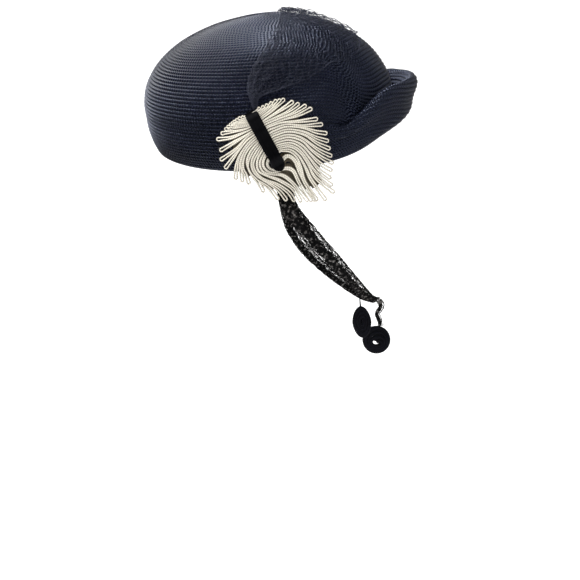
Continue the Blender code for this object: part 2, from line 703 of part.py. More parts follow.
def coil_outline(radius_at, hole, lean, middle, thickness):
    """Points and faces of a wound coil: ridged faces front and back round a small hole."""
    levels = COIL_WINDINGS * 2
    points = []
    for face in (-1.0, 1.0):
        for level in range(levels + 1):
            share = level / levels
            for i in range(COIL_SIDES):
                turn = 2 * math.pi * i / COIL_SIDES
                reach = radius_at(turn) * share + hole * (1.0 - share)
                x = reach * math.sin(turn)
                z = reach * math.cos(turn) - (1.0 - share) * COIL_HOLE_DROP * hole
                round_edge = 0.5 if level in (0, levels) else 1.0
                ridge = 0.0 if level % 2 else COIL_GROOVE
                half = (thickness / 2 - ridge) * round_edge if level else thickness / 3
                x, z = (
                    x * math.cos(lean) + z * math.sin(lean),
                    z * math.cos(lean) - x * math.sin(lean),
                )
                points.append(middle + Vector((x, face * half, z)))
    ring = COIL_SIDES * (levels + 1)
    faces = []
    for level in range(levels):
        faces += ring_strip(level * COIL_SIDES, (level + 1) * COIL_SIDES, COIL_SIDES)
        back = ring_strip(ring + level * COIL_SIDES, ring + (level + 1) * COIL_SIDES, COIL_SIDES)
        faces += [tuple(reversed(face)) for face in back]
    faces += ring_strip(levels * COIL_SIDES, ring + levels * COIL_SIDES, COIL_SIDES)
    faces += [tuple(reversed(face)) for face in ring_strip(0, ring, COIL_SIDES)]
    return points, facing_out(points, faces)


def make_coils(tape_foot, strap_stations, material):
    """The two wound coils below the chin: a round one under the tape's end and a leaf on a thread."""
    centre = tape_foot - Vector((COIL_SET_BACK, 0.0, ROUND_COIL_RADIUS + AIR + COIL_GROOVE / 2))
    points, faces = coil_outline(lambda turn: ROUND_COIL_RADIUS, COIL_HOLE, 0.0, centre, ROUND_COIL_THICKNESS)
    make_object("round_coil", points, faces, material)

    front = [station for station in strap_stations if station[0].x > CHIN_FORWARD / 2]
    hung = np.interp(-LEAF_PLACE * CHEEK_HALF_WIDTH, [station[0].y for station in front], range(len(front)))
    share = float(hung) % 1.0
    (start, start_wide, _, width, _), (end, end_wide, _, _, _) = front[int(hung) : int(hung) + 2]
    wide = start_wide.lerp(end_wide, share)
    low = wide if wide.z < 0 else -wide
    top = start.lerp(end, share) + low * (width / 2 + 2 * AIR)
    thread = LEAF_COIL_LENGTH * LEAF_THREAD

    def leaf(turn):
        half = LEAF_COIL_LENGTH / 2
        side = LEAF_COIL_WIDTH / 2
        body = 1.0 / math.hypot(math.cos(turn) / half, math.sin(turn) / side)
        tip = max(math.cos(turn), 0.0)
        return body + thread * tip**LEAF_POINT

    reach = leaf(0.0)
    down = Vector((-math.sin(LEAF_COIL_LEAN), 0.0, -math.cos(LEAF_COIL_LEAN)))
    points, faces = coil_outline(leaf, COIL_HOLE / 2, LEAF_COIL_LEAN, top + down * reach, LEAF_COIL_THICKNESS)
    make_object("leaf_coil", points, faces, material)


def main():
    for obj in list(bpy.data.objects):
        bpy.data.objects.remove(obj)
    straw = make_material("straw_braid", (0.012, 0.013, 0.022), 0.42)
    net = make_material("veil_net", (0.05, 0.055, 0.065), 0.7)
    cord = make_material("ivory_cord", (0.82, 0.76, 0.62), 0.6, 0.2)
    velvet = make_material("black_velvet", (0.008, 0.008, 0.010), 0.9, 0.8)
    tape = make_material("black_net_tape", (0.02, 0.02, 0.023), 0.8)
    wound = make_material("wound_velvet_cord", (0.015, 0.015, 0.018), 0.85, 0.6)

    hat = Hat()
    crown = make_crown(hat, straw)
    make_veil(hat, net)
    cockade = Cockade(hat, crown)
    make_cockade(cockade, cord)
    make_ribbon(cockade, velvet)
    stations = make_strap(hat, tape)
    chin = max(stations, key=lambda station: station[0].x)
    foot = make_tape(chin, tape)
    make_coils(foot, stations, wound)


if __name__ == "__main__":
    main()
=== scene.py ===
"""Looks of the tilt hat: sewn straw, net veil, cord cockade, velvet ribbon, chin strap and wound coils."""

import json
import logging
import math
from dataclasses import dataclass
from enum import Enum
from typing import Generic, TypeVar

import bpy
import numpy as np
from bpy.types import ID, Material, Node, NodeOutputs, NodeSocket, NodeTree, Object
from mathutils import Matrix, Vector
from mathutils.bvhtree import BVHTree

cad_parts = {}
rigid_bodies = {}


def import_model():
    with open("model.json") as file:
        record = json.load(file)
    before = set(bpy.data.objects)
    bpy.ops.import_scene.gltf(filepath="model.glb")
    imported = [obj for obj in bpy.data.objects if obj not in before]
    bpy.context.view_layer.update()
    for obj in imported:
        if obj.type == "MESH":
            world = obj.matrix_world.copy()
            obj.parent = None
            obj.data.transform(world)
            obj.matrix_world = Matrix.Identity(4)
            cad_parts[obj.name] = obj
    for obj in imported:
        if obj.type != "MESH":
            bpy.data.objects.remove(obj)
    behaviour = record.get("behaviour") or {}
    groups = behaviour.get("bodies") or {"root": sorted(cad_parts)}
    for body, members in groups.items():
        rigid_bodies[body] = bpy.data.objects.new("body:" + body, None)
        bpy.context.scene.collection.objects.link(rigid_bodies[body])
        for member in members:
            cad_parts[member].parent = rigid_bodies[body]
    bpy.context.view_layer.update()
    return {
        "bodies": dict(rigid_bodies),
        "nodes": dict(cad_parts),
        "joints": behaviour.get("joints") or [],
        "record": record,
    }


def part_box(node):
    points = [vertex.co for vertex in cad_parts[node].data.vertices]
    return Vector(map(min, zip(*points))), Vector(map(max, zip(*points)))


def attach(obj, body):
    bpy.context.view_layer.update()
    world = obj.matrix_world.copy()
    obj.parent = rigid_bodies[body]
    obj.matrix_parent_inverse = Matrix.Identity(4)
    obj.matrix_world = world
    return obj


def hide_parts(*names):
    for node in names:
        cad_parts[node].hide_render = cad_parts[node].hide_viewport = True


LOG = logging.getLogger("tilt_hat")
BODY = "root"

Array = np.ndarray
Point = Colour = tuple[float, float, float]


class Slot(Enum):
    """The record's material slots."""

    STRAW = "straw_braid"
    NET = "veil_net"
    CORD = "ivory_cord"
    VELVET = "black_velvet"
    TAPE = "black_net_tape"
    WOUND = "wound_velvet_cord"


@dataclass(frozen=True)
class Finish:
    """A fabric's colours and how it takes the light.

    Args:
        dark, light: its colours between the strands and on them; dark is also the painted shade in the
            grooves.
        roughness: from 0 for a mirror to 1 for matt.
        bump_mm: the relief's height.
        specular: how much it reflects.
        sheen: how much light its fibres catch.
        tint: the reflection's colour.
    """

    dark: Colour
    light: Colour
    roughness: float
    bump_mm: float
    specular: float = 0.5
    sheen: float = 0.0
    tint: Colour = (1.0, 1.0, 1.0)


@dataclass(frozen=True)
class Weave:
    """How a fabric is plaited and unevenly dyed.

    Args:
        stitches: strands for each UV unit along.
        plaits: plaits for each UV unit across.
        slant: how far the strands slant, in strands.
        mottle: how much of the colour comes from uneven dye rather than from the strands; on the net tape,
            from painted sheen in sparse light flecks.
        fuzz: share of fine noise in the relief, for pile and fibre.
        grain: how fine the uneven dye and the tape's painted sheen are, in patches for each metre.
        gain: how hard its edges are.
        bias: how little of it is light.
        edge: how early the painted shade darkens a plait from its middle to its edge.
        swing: how much a strand's two ends differ.
    """

    stitches: float
    plaits: float
    slant: float
    mottle: float
    fuzz: float = 0.0
    grain: float = 60.0
    gain: float = 2.2
    bias: float = -0.6
    edge: float = 2.0
    swing: float = 0.5


@dataclass(frozen=True)
class Fabric:
    """What a slot is made of."""

    slot: Slot
    finish: Finish
    weave: Weave


# Its rows darken towards their seams through the plait's edge: painted shade between the rows.
STRAW = Fabric(
    Slot.STRAW,
    Finish((0.0001, 0.0002, 0.0010), (0.0030, 0.0040, 0.0170), 0.34, 0.95, 0.46, tint=(0.58, 0.68, 1.0)),
    Weave(stitches=1.0, plaits=1.0, slant=0.8, mottle=0.35),
)
NET = Fabric(
    Slot.NET,
    Finish((0.012, 0.014, 0.026), (0.034, 0.038, 0.058), 0.6, 0.05, 0.2),
    Weave(stitches=1.4, plaits=1.0, slant=0.0, mottle=0.5, fuzz=0.5),
)
# The cords' dark brown, reached towards their low sides (edge 3.8), is painted shade in the grooves between
# them.
CORD = Fabric(
    Slot.CORD,
    Finish((0.13, 0.10, 0.055), (1.0, 0.95, 0.83), 0.70, 0.20),
    Weave(stitches=0.9, plaits=1.0, slant=0.0, mottle=0.10, fuzz=0.15, grain=400.0, edge=3.8, swing=0.22),
)
# A dark brown strip low between the cords: painted shade between them.
CORD_FOOT_SHADE = Fabric(
    Slot.CORD,
    Finish((0.05, 0.04, 0.028), (0.12, 0.10, 0.065), 0.85, 0.10),
    Weave(stitches=1.0, plaits=1.0, slant=0.5, mottle=0.5, fuzz=0.5, grain=400.0),
)
VELVET = Fabric(
    Slot.VELVET,
    Finish((0.0006, 0.0006, 0.0010), (0.0022, 0.0022, 0.0036), 0.95, 0.12, 0.05, sheen=0.02),
    Weave(stitches=2.0, plaits=10.0, slant=0.0, mottle=0.6, fuzz=0.8),
)
# The tape is black with sparse light flecks: painted sheen on the gathered net.
TAPE = Fabric(
    Slot.TAPE,
    Finish((0.0006, 0.0006, 0.0010), (0.260, 0.245, 0.235), 0.80, 0.10, 0.10),
    Weave(stitches=1.3, plaits=9.0, slant=0.6, mottle=0.97, fuzz=0.5, grain=520.0, gain=9.0, bias=-4.85),
)
WOUND = Fabric(
    Slot.WOUND,
    Finish((0.0008, 0.0009, 0.0020), (0.0040, 0.0044, 0.0090), 0.88, 0.14, 0.12, sheen=0.03),
    Weave(stitches=1.6, plaits=6.0, slant=0.5, mottle=0.6, fuzz=0.6),
)


def round_curve(angles: Array, values: Array, at: Array) -> Array:
    """Smooth periodic curve through values at angles in degrees.

    Args:
        angles: the table's azimuths in degrees.
        values: one column of the table.
        at: azimuths to read.

    Returns:
        The curve's value at each azimuth.
    """
    order = np.argsort(np.mod(angles, 360.0))
    keys = np.mod(np.asarray(angles, float)[order], 360.0)
    held = np.asarray(values, float)[order]
    keys = np.concatenate([keys[-2:] - 360.0, keys, keys[:2] + 360.0])
    held = np.concatenate([held[-2:], held, held[:2]])
    turn = np.mod(at, 360.0)
    i = np.clip(np.searchsorted(keys, turn, side="right") - 1, 1, len(keys) - 3)
    span = keys[i + 1] - keys[i]
    t = (turn - keys[i]) / span
    leave = (held[i + 1] - held[i - 1]) / (keys[i + 1] - keys[i - 1]) * span
    reach = (held[i + 2] - held[i]) / (keys[i + 2] - keys[i]) * span
    return (
        (2 * t**3 - 3 * t**2 + 1) * held[i]
        + (t**3 - 2 * t**2 + t) * leave
        + (3 * t**2 - 2 * t**3) * held[i + 1]
        + (t**3 - t**2) * reach
    )


def smooth_curve(points: Array, steps: int) -> Array:
    """Catmull-Rom curve through the points.

    Args:
        points: (N, K) points.
        steps: pieces in each span.

    Returns:
        ((N - 1) * steps + 1, K) points.
    """
    points = np.asarray(points, float)
    held = np.vstack([2 * points[0] - points[1], points, 2 * points[-1] - points[-2]])
    t = (np.arange(steps) / steps)[None, :, None]
    before, start, end, after = (held[i : len(held) - 3 + i, None, :] for i in range(4))
    curve = 0.5 * (
        2 * start
        + (end - before) * t
        + (2 * before - 5 * start + 4 * end - after) * t**2
        + (3 * start - before - 3 * end + after) * t**3
    )
    return np.vstack([curve.reshape(-1, points.shape[1]), points[-1:]])


def along_curve(curve: Array, count: int) -> Array:
    """Points spread evenly along a curve, by the length of its first three columns.

    Args:
        curve: (N, K) points.
        count: how many points.

    Returns:
        (count, K) points.
    """
    run = run_of(curve[:, :3])
    wanted = np.linspace(0.0, run[-1], count)
    return np.stack([np.interp(wanted, run, curve[:, j]) for j in range(curve.shape[1])], axis=1)


def run_of(curve: Array) -> Array:
    """Length along the curve up to each of its points."""
    return np.concatenate([[0.0], np.cumsum(np.linalg.norm(np.diff(curve, axis=0), axis=1))])


def unit(vectors: Array) -> Array:
    """The vectors at length one."""
    return vectors / np.maximum(np.linalg.norm(vectors, axis=-1, keepdims=True), 1e-12)


class MeshSketch:
    """Gathers grids of points into one mesh with a UV map in real lengths."""

    def __init__(self) -> None:
        """Starts with no points."""
        self.points: list[Array] = []
        self.faces: list[list[int]] = []
        self.marks: list[Array] = []
        self.count = 0

    def add_grid(
        self, grid: Array, along: Array, around: Array, closed: bool = False, caps: bool = False
    ) -> None:
        """Adds a grid of quads.

        Args:
            grid: (R, C, 3) points.
            along: first UV coordinate, as (R,) or as an array that spreads over the grid.
            around: second UV coordinate, as (C,) or as an array that spreads over the grid. Columns that
                close have one value more.
            closed: whether the last column joins the first.
            caps: whether the first and last rows are closed with a face.
        """
        rows, cols = grid.shape[:2]
        index = np.arange(rows * cols).reshape(rows, cols) + self.count
        if closed:
            index = np.hstack([index, index[:, :1]])
        along = along[:, None] if along.ndim == 1 else along
        uv = np.stack([np.broadcast_to(mark, index.shape) for mark in (along, around)], axis=-1)
        low, high = slice(None, -1), slice(1, None)
        corners = ((low, low), (high, low), (high, high), (low, high))
        self.faces += np.stack([index[c] for c in corners], axis=-1).reshape(-1, 4).tolist()
        self.marks.append(np.stack([uv[c] for c in corners], axis=-2).reshape(-1, 2))
        if caps:
            for row, turn in ((0, 1), (rows - 1, -1)):
                self.faces.append(index[row, :cols][::turn].tolist())
                self.marks.append(uv[row, :cols][::turn])
        self.points.append(grid.reshape(-1, 3))
        self.count += rows * cols

    def add_tube(
        self, path: Array, side: Array, high: Array, section: Array, scale: float = 1000.0
    ) -> None:
        """Sweeps a closed section along a path and caps its ends.

        Args:
            path: (N, 3) points.
            side, high: (3,) or (N, 3) the section's own directions.
            section: (M, 2) or (N, M, 2) offsets in metres.
            scale: UV units for each metre along.
        """
        section = np.broadcast_to(section, (len(path), *section.shape[-2:]))
        side, high = (np.broadcast_to(way, path.shape)[:, None] for way in (side, high))
        grid = path[:, None] + section[..., :1] * side + section[..., 1:] * high
        around = np.linspace(0.0, 1.0, section.shape[1] + 1)
        self.add_grid(grid, run_of(path) * scale, around, closed=True, caps=True)

    def build(self, name: str, material: Material) -> Object:
        """Makes the object, faces out.

        Args:
            name: the object's name.
            material: its only material.

        Returns:
            The object, linked to the scene.
        """
        mesh = bpy.data.meshes.new(name)
        mesh.from_pydata(np.concatenate(self.points).tolist(), [], self.faces)
        layer = mesh.uv_layers.new(name="braid")
        layer.data.foreach_set("uv", np.concatenate(self.marks).astype(np.float32).ravel())
        mesh.shade_smooth()
        mesh.materials.append(material)
        obj = bpy.data.objects.new(name, mesh)
        bpy.context.scene.collection.objects.link(obj)
        return obj


def round_section(radius: float, sides: int, flat: float = 1.0) -> Array:
    """A section of a round or flattened thread, in metres."""
    turn = 2 * np.pi * np.arange(sides) / sides
    return np.stack([np.cos(turn) * radius, np.sin(turn) * radius * flat], axis=1)


def ways(path: Array, out: Array) -> tuple[Array, Array]:
    """Side and outward directions square to a path, from rough outward ones.

    Args:
        path: (N, 3) points.
        out: (N, 3) rough outward directions.

    Returns:
        The side and the outward directions, (N, 3) each.
    """
    ahead = unit(np.gradient(path, axis=0))
    out = unit(out - ahead * (out * ahead).sum(axis=-1, keepdims=True))
    return np.cross(ahead, out), out


@dataclass(frozen=True)
class HatSize:
    """The straw form's sizes, in metres and degrees."""

    opening_length: float = 0.192
    opening_width: float = 0.166
    crown_depth: float = 0.079
    wall: float = 0.002
    roll_radius: float = 0.0053
    roll_inner: tuple[float, float] = (-1.25, -0.9)
    roll_outer: tuple[float, float] = (0.65, -1.0)
    foot_sink: float = 0.6
    side_swell: float = 0.5
    rolled_side: tuple[float, float] = (0.45, 0.4)
    side_tilt: float = 33.0
    nose_up: float = 6.0
    centre: Point = (-0.002, -0.009, -0.085)


SECTION_COLUMNS = (
    "azimuth", "edge", "belly", "belly_height", "full", "foot", "foot_height",
    "valley", "valley_height", "crest", "crest_height", "rolled",
)
# from foot to rolled, where the brim isn't rolled
UNROLLED = (0.95, 0.40, 1.00, 0.32, 1.03, 0.28, 0.0)
SECTIONS = (
    (0, 0.80, 1.04, 0.24, 1.03, 0.89, 0.38, 0.905, 0.23, 1.035, 0.41, 1.0),
    (-20, 0.82, 1.00, 0.24, 1.03, 0.87, 0.38, 0.885, 0.24, 0.98, 0.43, 1.0),
    (-35, 0.85, 0.95, 0.20, 1.00, 0.86, 0.38, 0.87, 0.22, 0.95, 0.43, 1.0),
    (-50, 0.90, 0.94, 0.18, 0.98, 0.88, 0.36, 0.90, 0.18, 0.95, 0.33, 0.9),
    (-65, 0.95, 0.98, 0.20, 0.92, 0.93, 0.36, 0.95, 0.20, 0.99, 0.22, 0.4),
    (-85, 0.98, 1.01, 0.28, 0.86, *UNROLLED),
    (-120, 0.95, 0.99, 0.30, 0.89, *UNROLLED),
    (-150, 0.93, 0.98, 0.32, 0.94, *UNROLLED),
    (180, 0.94, 0.965, 0.34, 0.95, *UNROLLED),
    (150, 0.95, 0.98, 0.32, 0.94, *UNROLLED),
    (120, 0.99, 1.02, 0.28, 0.88, *UNROLLED),
    (85, 1.01, 1.04, 0.28, 0.88, *UNROLLED),
    (60, 0.97, 1.00, 0.26, 0.92, 0.90, 0.36, 0.95, 0.24, 1.00, 0.26, 0.3),
    (35, 0.89, 0.99, 0.22, 0.98, 0.87, 0.38, 0.89, 0.22, 0.99, 0.33, 1.0),
    (18, 0.83, 1.02, 0.22, 1.02, 0.88, 0.38, 0.90, 0.22, 1.02, 0.39, 1.0),
)
PLAIN_TURNS = (0.0, 0.12, 0.27, 0.45, 0.62, 0.78, 0.90, 0.96)
ROLLED_TURNS = (0.0, 0.14, 0.34, 0.58, 0.80)
PLAIN_SIDE = (0.35, 0.7)

DENTS = (
    # azimuth, arc, azimuth_spread, arc_spread, depth as a share of the crown's depth
    (-84, 0.62, 24, 0.10, 0.040),
    (-38, 0.44, 8, 0.11, 0.030),
    (-150, 0.50, 22, 0.10, 0.014),
)


class HatForm:
    """The straw's outer face as a fine map of points and outward directions by azimuth and share of arc."""

    turns = 720
    arcs = 401
    fine = 12

    def __init__(self, size: HatSize) -> None:
        """Works out the map.

        Args:
            size: the straw form's sizes.
        """
        self.size = size
        azimuths = np.arange(self.turns) * 360.0 / self.turns
        table = np.array(SECTIONS, float)
        columns = {
            name: round_curve(table[:, 0], table[:, i + 1], azimuths)
            for i, name in enumerate(SECTION_COLUMNS[1:])
        }
        turn = np.radians(azimuths)
        radius = 1.0 / np.hypot(
            np.cos(turn) / (size.opening_length / 2), np.sin(turn) / (size.opening_width / 2))
        shape = np.empty((self.turns, self.arcs, 2))
        for i, azimuth in enumerate(azimuths):
            share = {name: float(column[i]) for name, column in columns.items()}
            shape[i] = self._meridian(float(azimuth), float(radius[i]), share)
        far, up = np.moveaxis(shape, -1, 0)
        ahead, left = np.cos(turn)[:, None], np.sin(turn)[:, None]
        self.points = self.worn(np.stack([far * ahead, far * left, up], axis=-1))
        down = np.gradient(self.points, axis=1)
        rolled = np.concatenate([self.points[-1:], self.points, self.points[:1]])
        self.out = unit(np.cross(down, np.gradient(rolled, axis=0)[1:-1]))
        self.out[:, 0] = unit(self.out[:, 1].mean(axis=0))

    def _knots(self, radius: float, share: dict[str, float]) -> Array:
        """Knots of one meridian, from the crown's centre to the edge, as radius and height.

        Args:
            radius: the opening's radius here.
            share: the table's columns here.

        Returns:
            (K, 2) knots.
        """
        size = self.size
        depth = size.crown_depth

        def knot(name: str) -> Array:
            """A named knot of the table."""
            return np.array([radius * share[name], depth * share[name + "_height"]])

        edge = np.array([radius * share["edge"], 0.0])
        belly, valley, crest, foot = (knot(name) for name in ("belly", "valley", "crest", "foot"))
        foot[1] *= size.foot_sink

        def dome(turn: float, rim: Array, rolled: bool) -> Array:
            """A knot of the dome.

            Args:
                turn: share of the way from the centre to the rim.
                rim: the knot where the dome ends.
                rolled: whether it dips behind the rolled brim.

            Returns:
                Radius and height.
            """
            angle = turn * math.pi / 2
            rise = math.cos(angle) ** share["full"]
            up = depth + (rim[1] - depth) * (1.0 - rise) if rolled else rim[1] + (depth - rim[1]) * rise
            return np.array([rim[0] * math.sin(angle) ** share["full"], up])

        drop = belly - edge
        plain = [dome(turn, belly, False) for turn in PLAIN_TURNS] + [belly]
        plain += [
            belly - drop * part + np.array([drop[0] * size.side_swell * math.sin(math.pi * part), 0.0])
            for part in PLAIN_SIDE
        ]
        plain += [edge]
        rolled = [dome(turn, foot, True) for turn in ROLLED_TURNS] + [valley]
        rolled += [crest + np.array(size.roll_inner) * size.roll_radius, crest]
        rolled += [crest + np.array(size.roll_outer) * size.roll_radius, belly]
        up, over = size.rolled_side
        rolled += [edge + drop * up + np.array([drop[0] * over, 0.0]), edge]
        return np.array(plain) * (1.0 - share["rolled"]) + np.array(rolled) * share["rolled"]

    def _meridian(self, azimuth: float, radius: float, share: dict[str, float]) -> Array:
        """One meridian as points evenly spread by arc, with the dents pressed in.

        Args:
            azimuth: its azimuth in degrees.
            radius: the opening's radius here.
            share: the table's columns here.

        Returns:
            (arcs, 2) radii and heights.
        """
        curve = smooth_curve(self._knots(radius, share), self.fine)
        run = run_of(curve)
        arc = run / run[-1]
        ahead = np.gradient(curve, axis=0)
        ahead[0] = (1.0, 0.0)
        out = unit(np.stack([-ahead[:, 1], ahead[:, 0]], axis=1))
        for place, where, turn_spread, arc_spread, depth in DENTS:
            turn = (azimuth - place + 180.0) % 360.0 - 180.0
            press = np.exp(-((turn / turn_spread) ** 2) - ((arc - where) / arc_spread) ** 2)
            curve = curve - out * (press * depth * self.size.crown_depth)[:, None]
        even = np.linspace(0.0, 1.0, self.arcs)
        return np.stack([np.interp(even, arc, curve[:, j]) for j in range(2)], axis=1)

    def worn(self, points: Array) -> Array:
        """Points of the upright hat, where they are when the hat is worn.

        Args:
            points: (..., 3) points of the upright hat.

        Returns:
            The points, tilted and set on the head.
        """
        tilt, nose = math.radians(self.size.side_tilt), math.radians(self.size.nose_up)
        x, y, z = np.moveaxis(points, -1, 0)
        y, z = y * math.cos(tilt) - z * math.sin(tilt), y * math.sin(tilt) + z * math.cos(tilt)
        x, z = x * math.cos(nose) - z * math.sin(nose), x * math.sin(nose) + z * math.cos(nose)
        return np.stack([x, y, z], axis=-1) + np.array(self.size.centre)

    def sample(self, azimuth: Array, arc: Array) -> tuple[Array, Array]:
        """Points of the outer face and outward directions.

        Args:
            azimuth: degrees.
            arc: shares of arc, of the same shape.

        Returns:
            Two (..., 3) arrays.
        """
        a = np.mod(np.asarray(azimuth, float), 360.0) / 360.0 * self.turns
        s = np.clip(np.asarray(arc, float), 0.0, 1.0) * (self.arcs - 1)
        i, j = np.floor(a).astype(int), np.minimum(np.floor(s).astype(int), self.arcs - 2)
        fa, fs = (a - i)[..., None], (s - j)[..., None]
        i0, i1 = i % self.turns, (i + 1) % self.turns
        blend = []
        for grid in (self.points, self.out):
            near = grid[i0, j] * (1 - fs) + grid[i0, j + 1] * fs
            far = grid[i1, j] * (1 - fs) + grid[i1, j + 1] * fs
            blend.append(near * (1 - fa) + far * fa)
        return blend[0], unit(blend[1])

    def lifted(self, azimuth: Array, arc: Array, lift: Array | float) -> Array:
        """Points this far off the outer face."""
        point, out = self.sample(azimuth, arc)
        return point + out * np.asarray(lift)[..., None]


class NodeSketch:
    """Adds nodes to a tree and joins what feeds them."""

    def __init__(self, tree: NodeTree) -> None:
        """Starts on a tree."""
        self.tree = tree

    def feed(self, node: Node, inputs: dict) -> None:
        """Sets a node's inputs to values, or joins them to sockets.

        Args:
            node: the node to feed.
            inputs: a value or a socket for each input's name or number.
        """
        for key, value in inputs.items():
            if isinstance(value, NodeSocket):
                self.tree.links.new(value, node.inputs[key])
            else:
                node.inputs[key].default_value = value

    def add(self, kind: str, inputs: dict | None = None, **settings: object) -> Node:
        """A new node with its settings made and its inputs fed.

        Args:
            kind: the node's type.
            inputs: what feeds it.
            settings: its own settings.

        Returns:
            The node.
        """
        node = self.tree.nodes.new(kind)
        for name, value in settings.items():
            setattr(node, name, value)
        self.feed(node, inputs or {})
        return node

    def math(self, operation: str, *values: NodeSocket | float) -> NodeSocket:
        """The result of a Math node."""
        return self.add("ShaderNodeMath", dict(enumerate(values)), operation=operation).outputs[0]


class Looks:
    """The node groups that every fabric shares, and the material of each."""

    edge_power = 2.2
    dye_detail = 4.0
    fibre_scale = 2600.0
    fibre_detail = 2.0

    def __init__(self) -> None:
        """Builds both groups once."""
        self.mottle = self._mottle_group()
        self.plait = self._plait_group()

    @staticmethod
    def _group(
        name: str, inputs: tuple[str, ...], outputs: tuple[str, ...]
    ) -> tuple[NodeSketch, NodeOutputs, Node]:
        """An empty node group of numbers, where an input named Vector is a vector.

        Args:
            name: the group's name.
            inputs: the names of its inputs.
            outputs: the names of its outputs.

        Returns:
            The group's sketch, what comes into it and its output node.
        """
        group = bpy.data.node_groups.new(name, "ShaderNodeTree")
        for labels, way in ((inputs, "INPUT"), (outputs, "OUTPUT")):
            for label in labels:
                kind = "NodeSocketVector" if label == "Vector" else "NodeSocketFloat"
                group.interface.new_socket(name=label, in_out=way, socket_type=kind)
        sketch = NodeSketch(group)
        return sketch, sketch.add("NodeGroupInput").outputs, sketch.add("NodeGroupOutput")

    def _mottle_group(self) -> NodeTree:
        """Soft uneven dye and wear over the surface, from 0 to 1; on the net tape, sparse light flecks of
        painted sheen.

        Returns:
            The group.
        """
        group, enter, leave = self._group("mottle", ("Vector", "Scale", "Gain", "Bias"), ("Value",))
        broad = group.add("ShaderNodeTexNoise", {
            "Vector": enter["Vector"], "Scale": enter["Scale"], "Detail": self.dye_detail})
        spread = group.math("MULTIPLY_ADD", broad.outputs[0], enter["Gain"], enter["Bias"])
        clamp = group.add("ShaderNodeClamp", {0: spread})
        group.feed(leave, {"Value": clamp.outputs[0]})
        return group.tree

    def _plait_group(self) -> NodeTree:
        """Chevron relief of a plait: strands that slant both ways from its middle, along the UV map. Its
        Middle falls from a plait's middle to its edge, and the colour also uses it for painted shade in the
        grooves.

        Returns:
            The group.
        """
        group, enter, leave = self._group(
            "plait", ("Stitches", "Plaits", "Slant", "Edge", "Swing"), ("Height", "Middle"))
        uv = group.add("ShaderNodeUVMap", uv_map="braid")
        split = group.add("ShaderNodeSeparateXYZ", {0: uv.outputs[0]})
        across = group.math("FRACT", group.math("MULTIPLY", split.outputs[1], enter["Plaits"]))
        off = group.math("ABSOLUTE", group.math("SUBTRACT", across, 0.5))
        slant = group.math("MULTIPLY", off, enter["Slant"])
        run = group.math("MULTIPLY_ADD", split.outputs[0], enter["Stitches"], slant)
        wave = group.math("SINE", group.math("MULTIPLY", run, 2 * math.pi))
        rest = group.math("SUBTRACT", 1.0, enter["Swing"])
        strand = group.math("MULTIPLY_ADD", wave, enter["Swing"], rest)
        edge = group.math("POWER", group.math("MULTIPLY", off, enter["Edge"]), self.edge_power)
        middle = group.math("SUBTRACT", 1.0, edge)
        group.feed(leave, {"Height": group.math("MULTIPLY", strand, middle), "Middle": middle})
        return group.tree

    def fabric(self, cloth: Fabric) -> Material:
        """A woven or plaited material, named after its slot.

        Args:
            cloth: what it is made of.

        Returns:
            The material.
        """
        finish, weave = cloth.finish, cloth.weave
        material = bpy.data.materials.new(cloth.slot.value)
        material.use_nodes = True
        tree = NodeSketch(material.node_tree)
        plait = tree.add("ShaderNodeGroup", {
            "Stitches": weave.stitches, "Plaits": weave.plaits, "Slant": weave.slant, "Edge": weave.edge,
            "Swing": weave.swing}, node_tree=self.plait)
        place = tree.add("ShaderNodeTexCoord").outputs["Object"]
        uneven = tree.add("ShaderNodeGroup", {
            "Vector": place, "Scale": weave.grain, "Gain": weave.gain, "Bias": weave.bias},
            node_tree=self.mottle)
        height = plait.outputs["Height"]
        level = tree.math("MULTIPLY", height, 1.0 - weave.mottle)
        # Uneven dye; on the net tape, sparse light flecks of painted sheen.
        level = tree.math("MULTIPLY_ADD", uneven.outputs["Value"], weave.mottle, level)
        # Painted shade: the colour darkens towards each plait's edge, in the grooves between the straw's rows
        # and down the sides of cords and threads.
        level = tree.math("MULTIPLY", level, plait.outputs["Middle"])
        colour = tree.add("ShaderNodeMix", {
            "A": (*finish.dark, 1.0), "B": (*finish.light, 1.0), "Factor": level}, data_type="RGBA")
        fibre = tree.add("ShaderNodeTexNoise", {
            "Vector": place, "Scale": self.fibre_scale, "Detail": self.fibre_detail})
        relief = tree.math("MULTIPLY", height, 1.0 - weave.fuzz)
        relief = tree.math("MULTIPLY_ADD", fibre.outputs[0], weave.fuzz, relief)
        bump = tree.add("ShaderNodeBump", {"Distance": finish.bump_mm / 1000.0, "Height": relief})
        tree.feed(material.node_tree.nodes["Principled BSDF"], {
            "Base Color": colour.outputs["Result"], "Roughness": finish.roughness,
            "Specular IOR Level": finish.specular, "Specular Tint": (*finish.tint, 1.0),
            "Sheen Weight": finish.sheen, "Normal": bump.outputs["Normal"]})
        return material


Ground = TypeVar("Ground")
Size = TypeVar("Size")


class Part(Generic[Ground, Size]):
    """What each sub-assembly shares: what it lies on, its sizes and how it is placed on the frame."""

    def __init__(self, looks: Looks, ground: Ground, size: Size) -> None:
        """Keeps what the part needs.

        Args:
            looks: the groups and materials.
            ground: what it lies on or is made of.
            size: its sizes.
        """
        self.looks = looks
        self.ground = ground
        self.size = size

    @staticmethod
    def settle(piece: Object, slot: Slot, *nodes: str) -> Object:
        """Lets a piece ride on the hat, and hides and logs the CAD nodes that it stands for.

        Args:
            piece: the piece.
            slot: its slot; not used.
            nodes: the CAD nodes.

        Returns:
            The piece.
        """
        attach(piece, BODY)
        if nodes:
            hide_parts(*nodes)
        LOG.info("%s stands for %s", piece.name, ", ".join(nodes))
        return piece


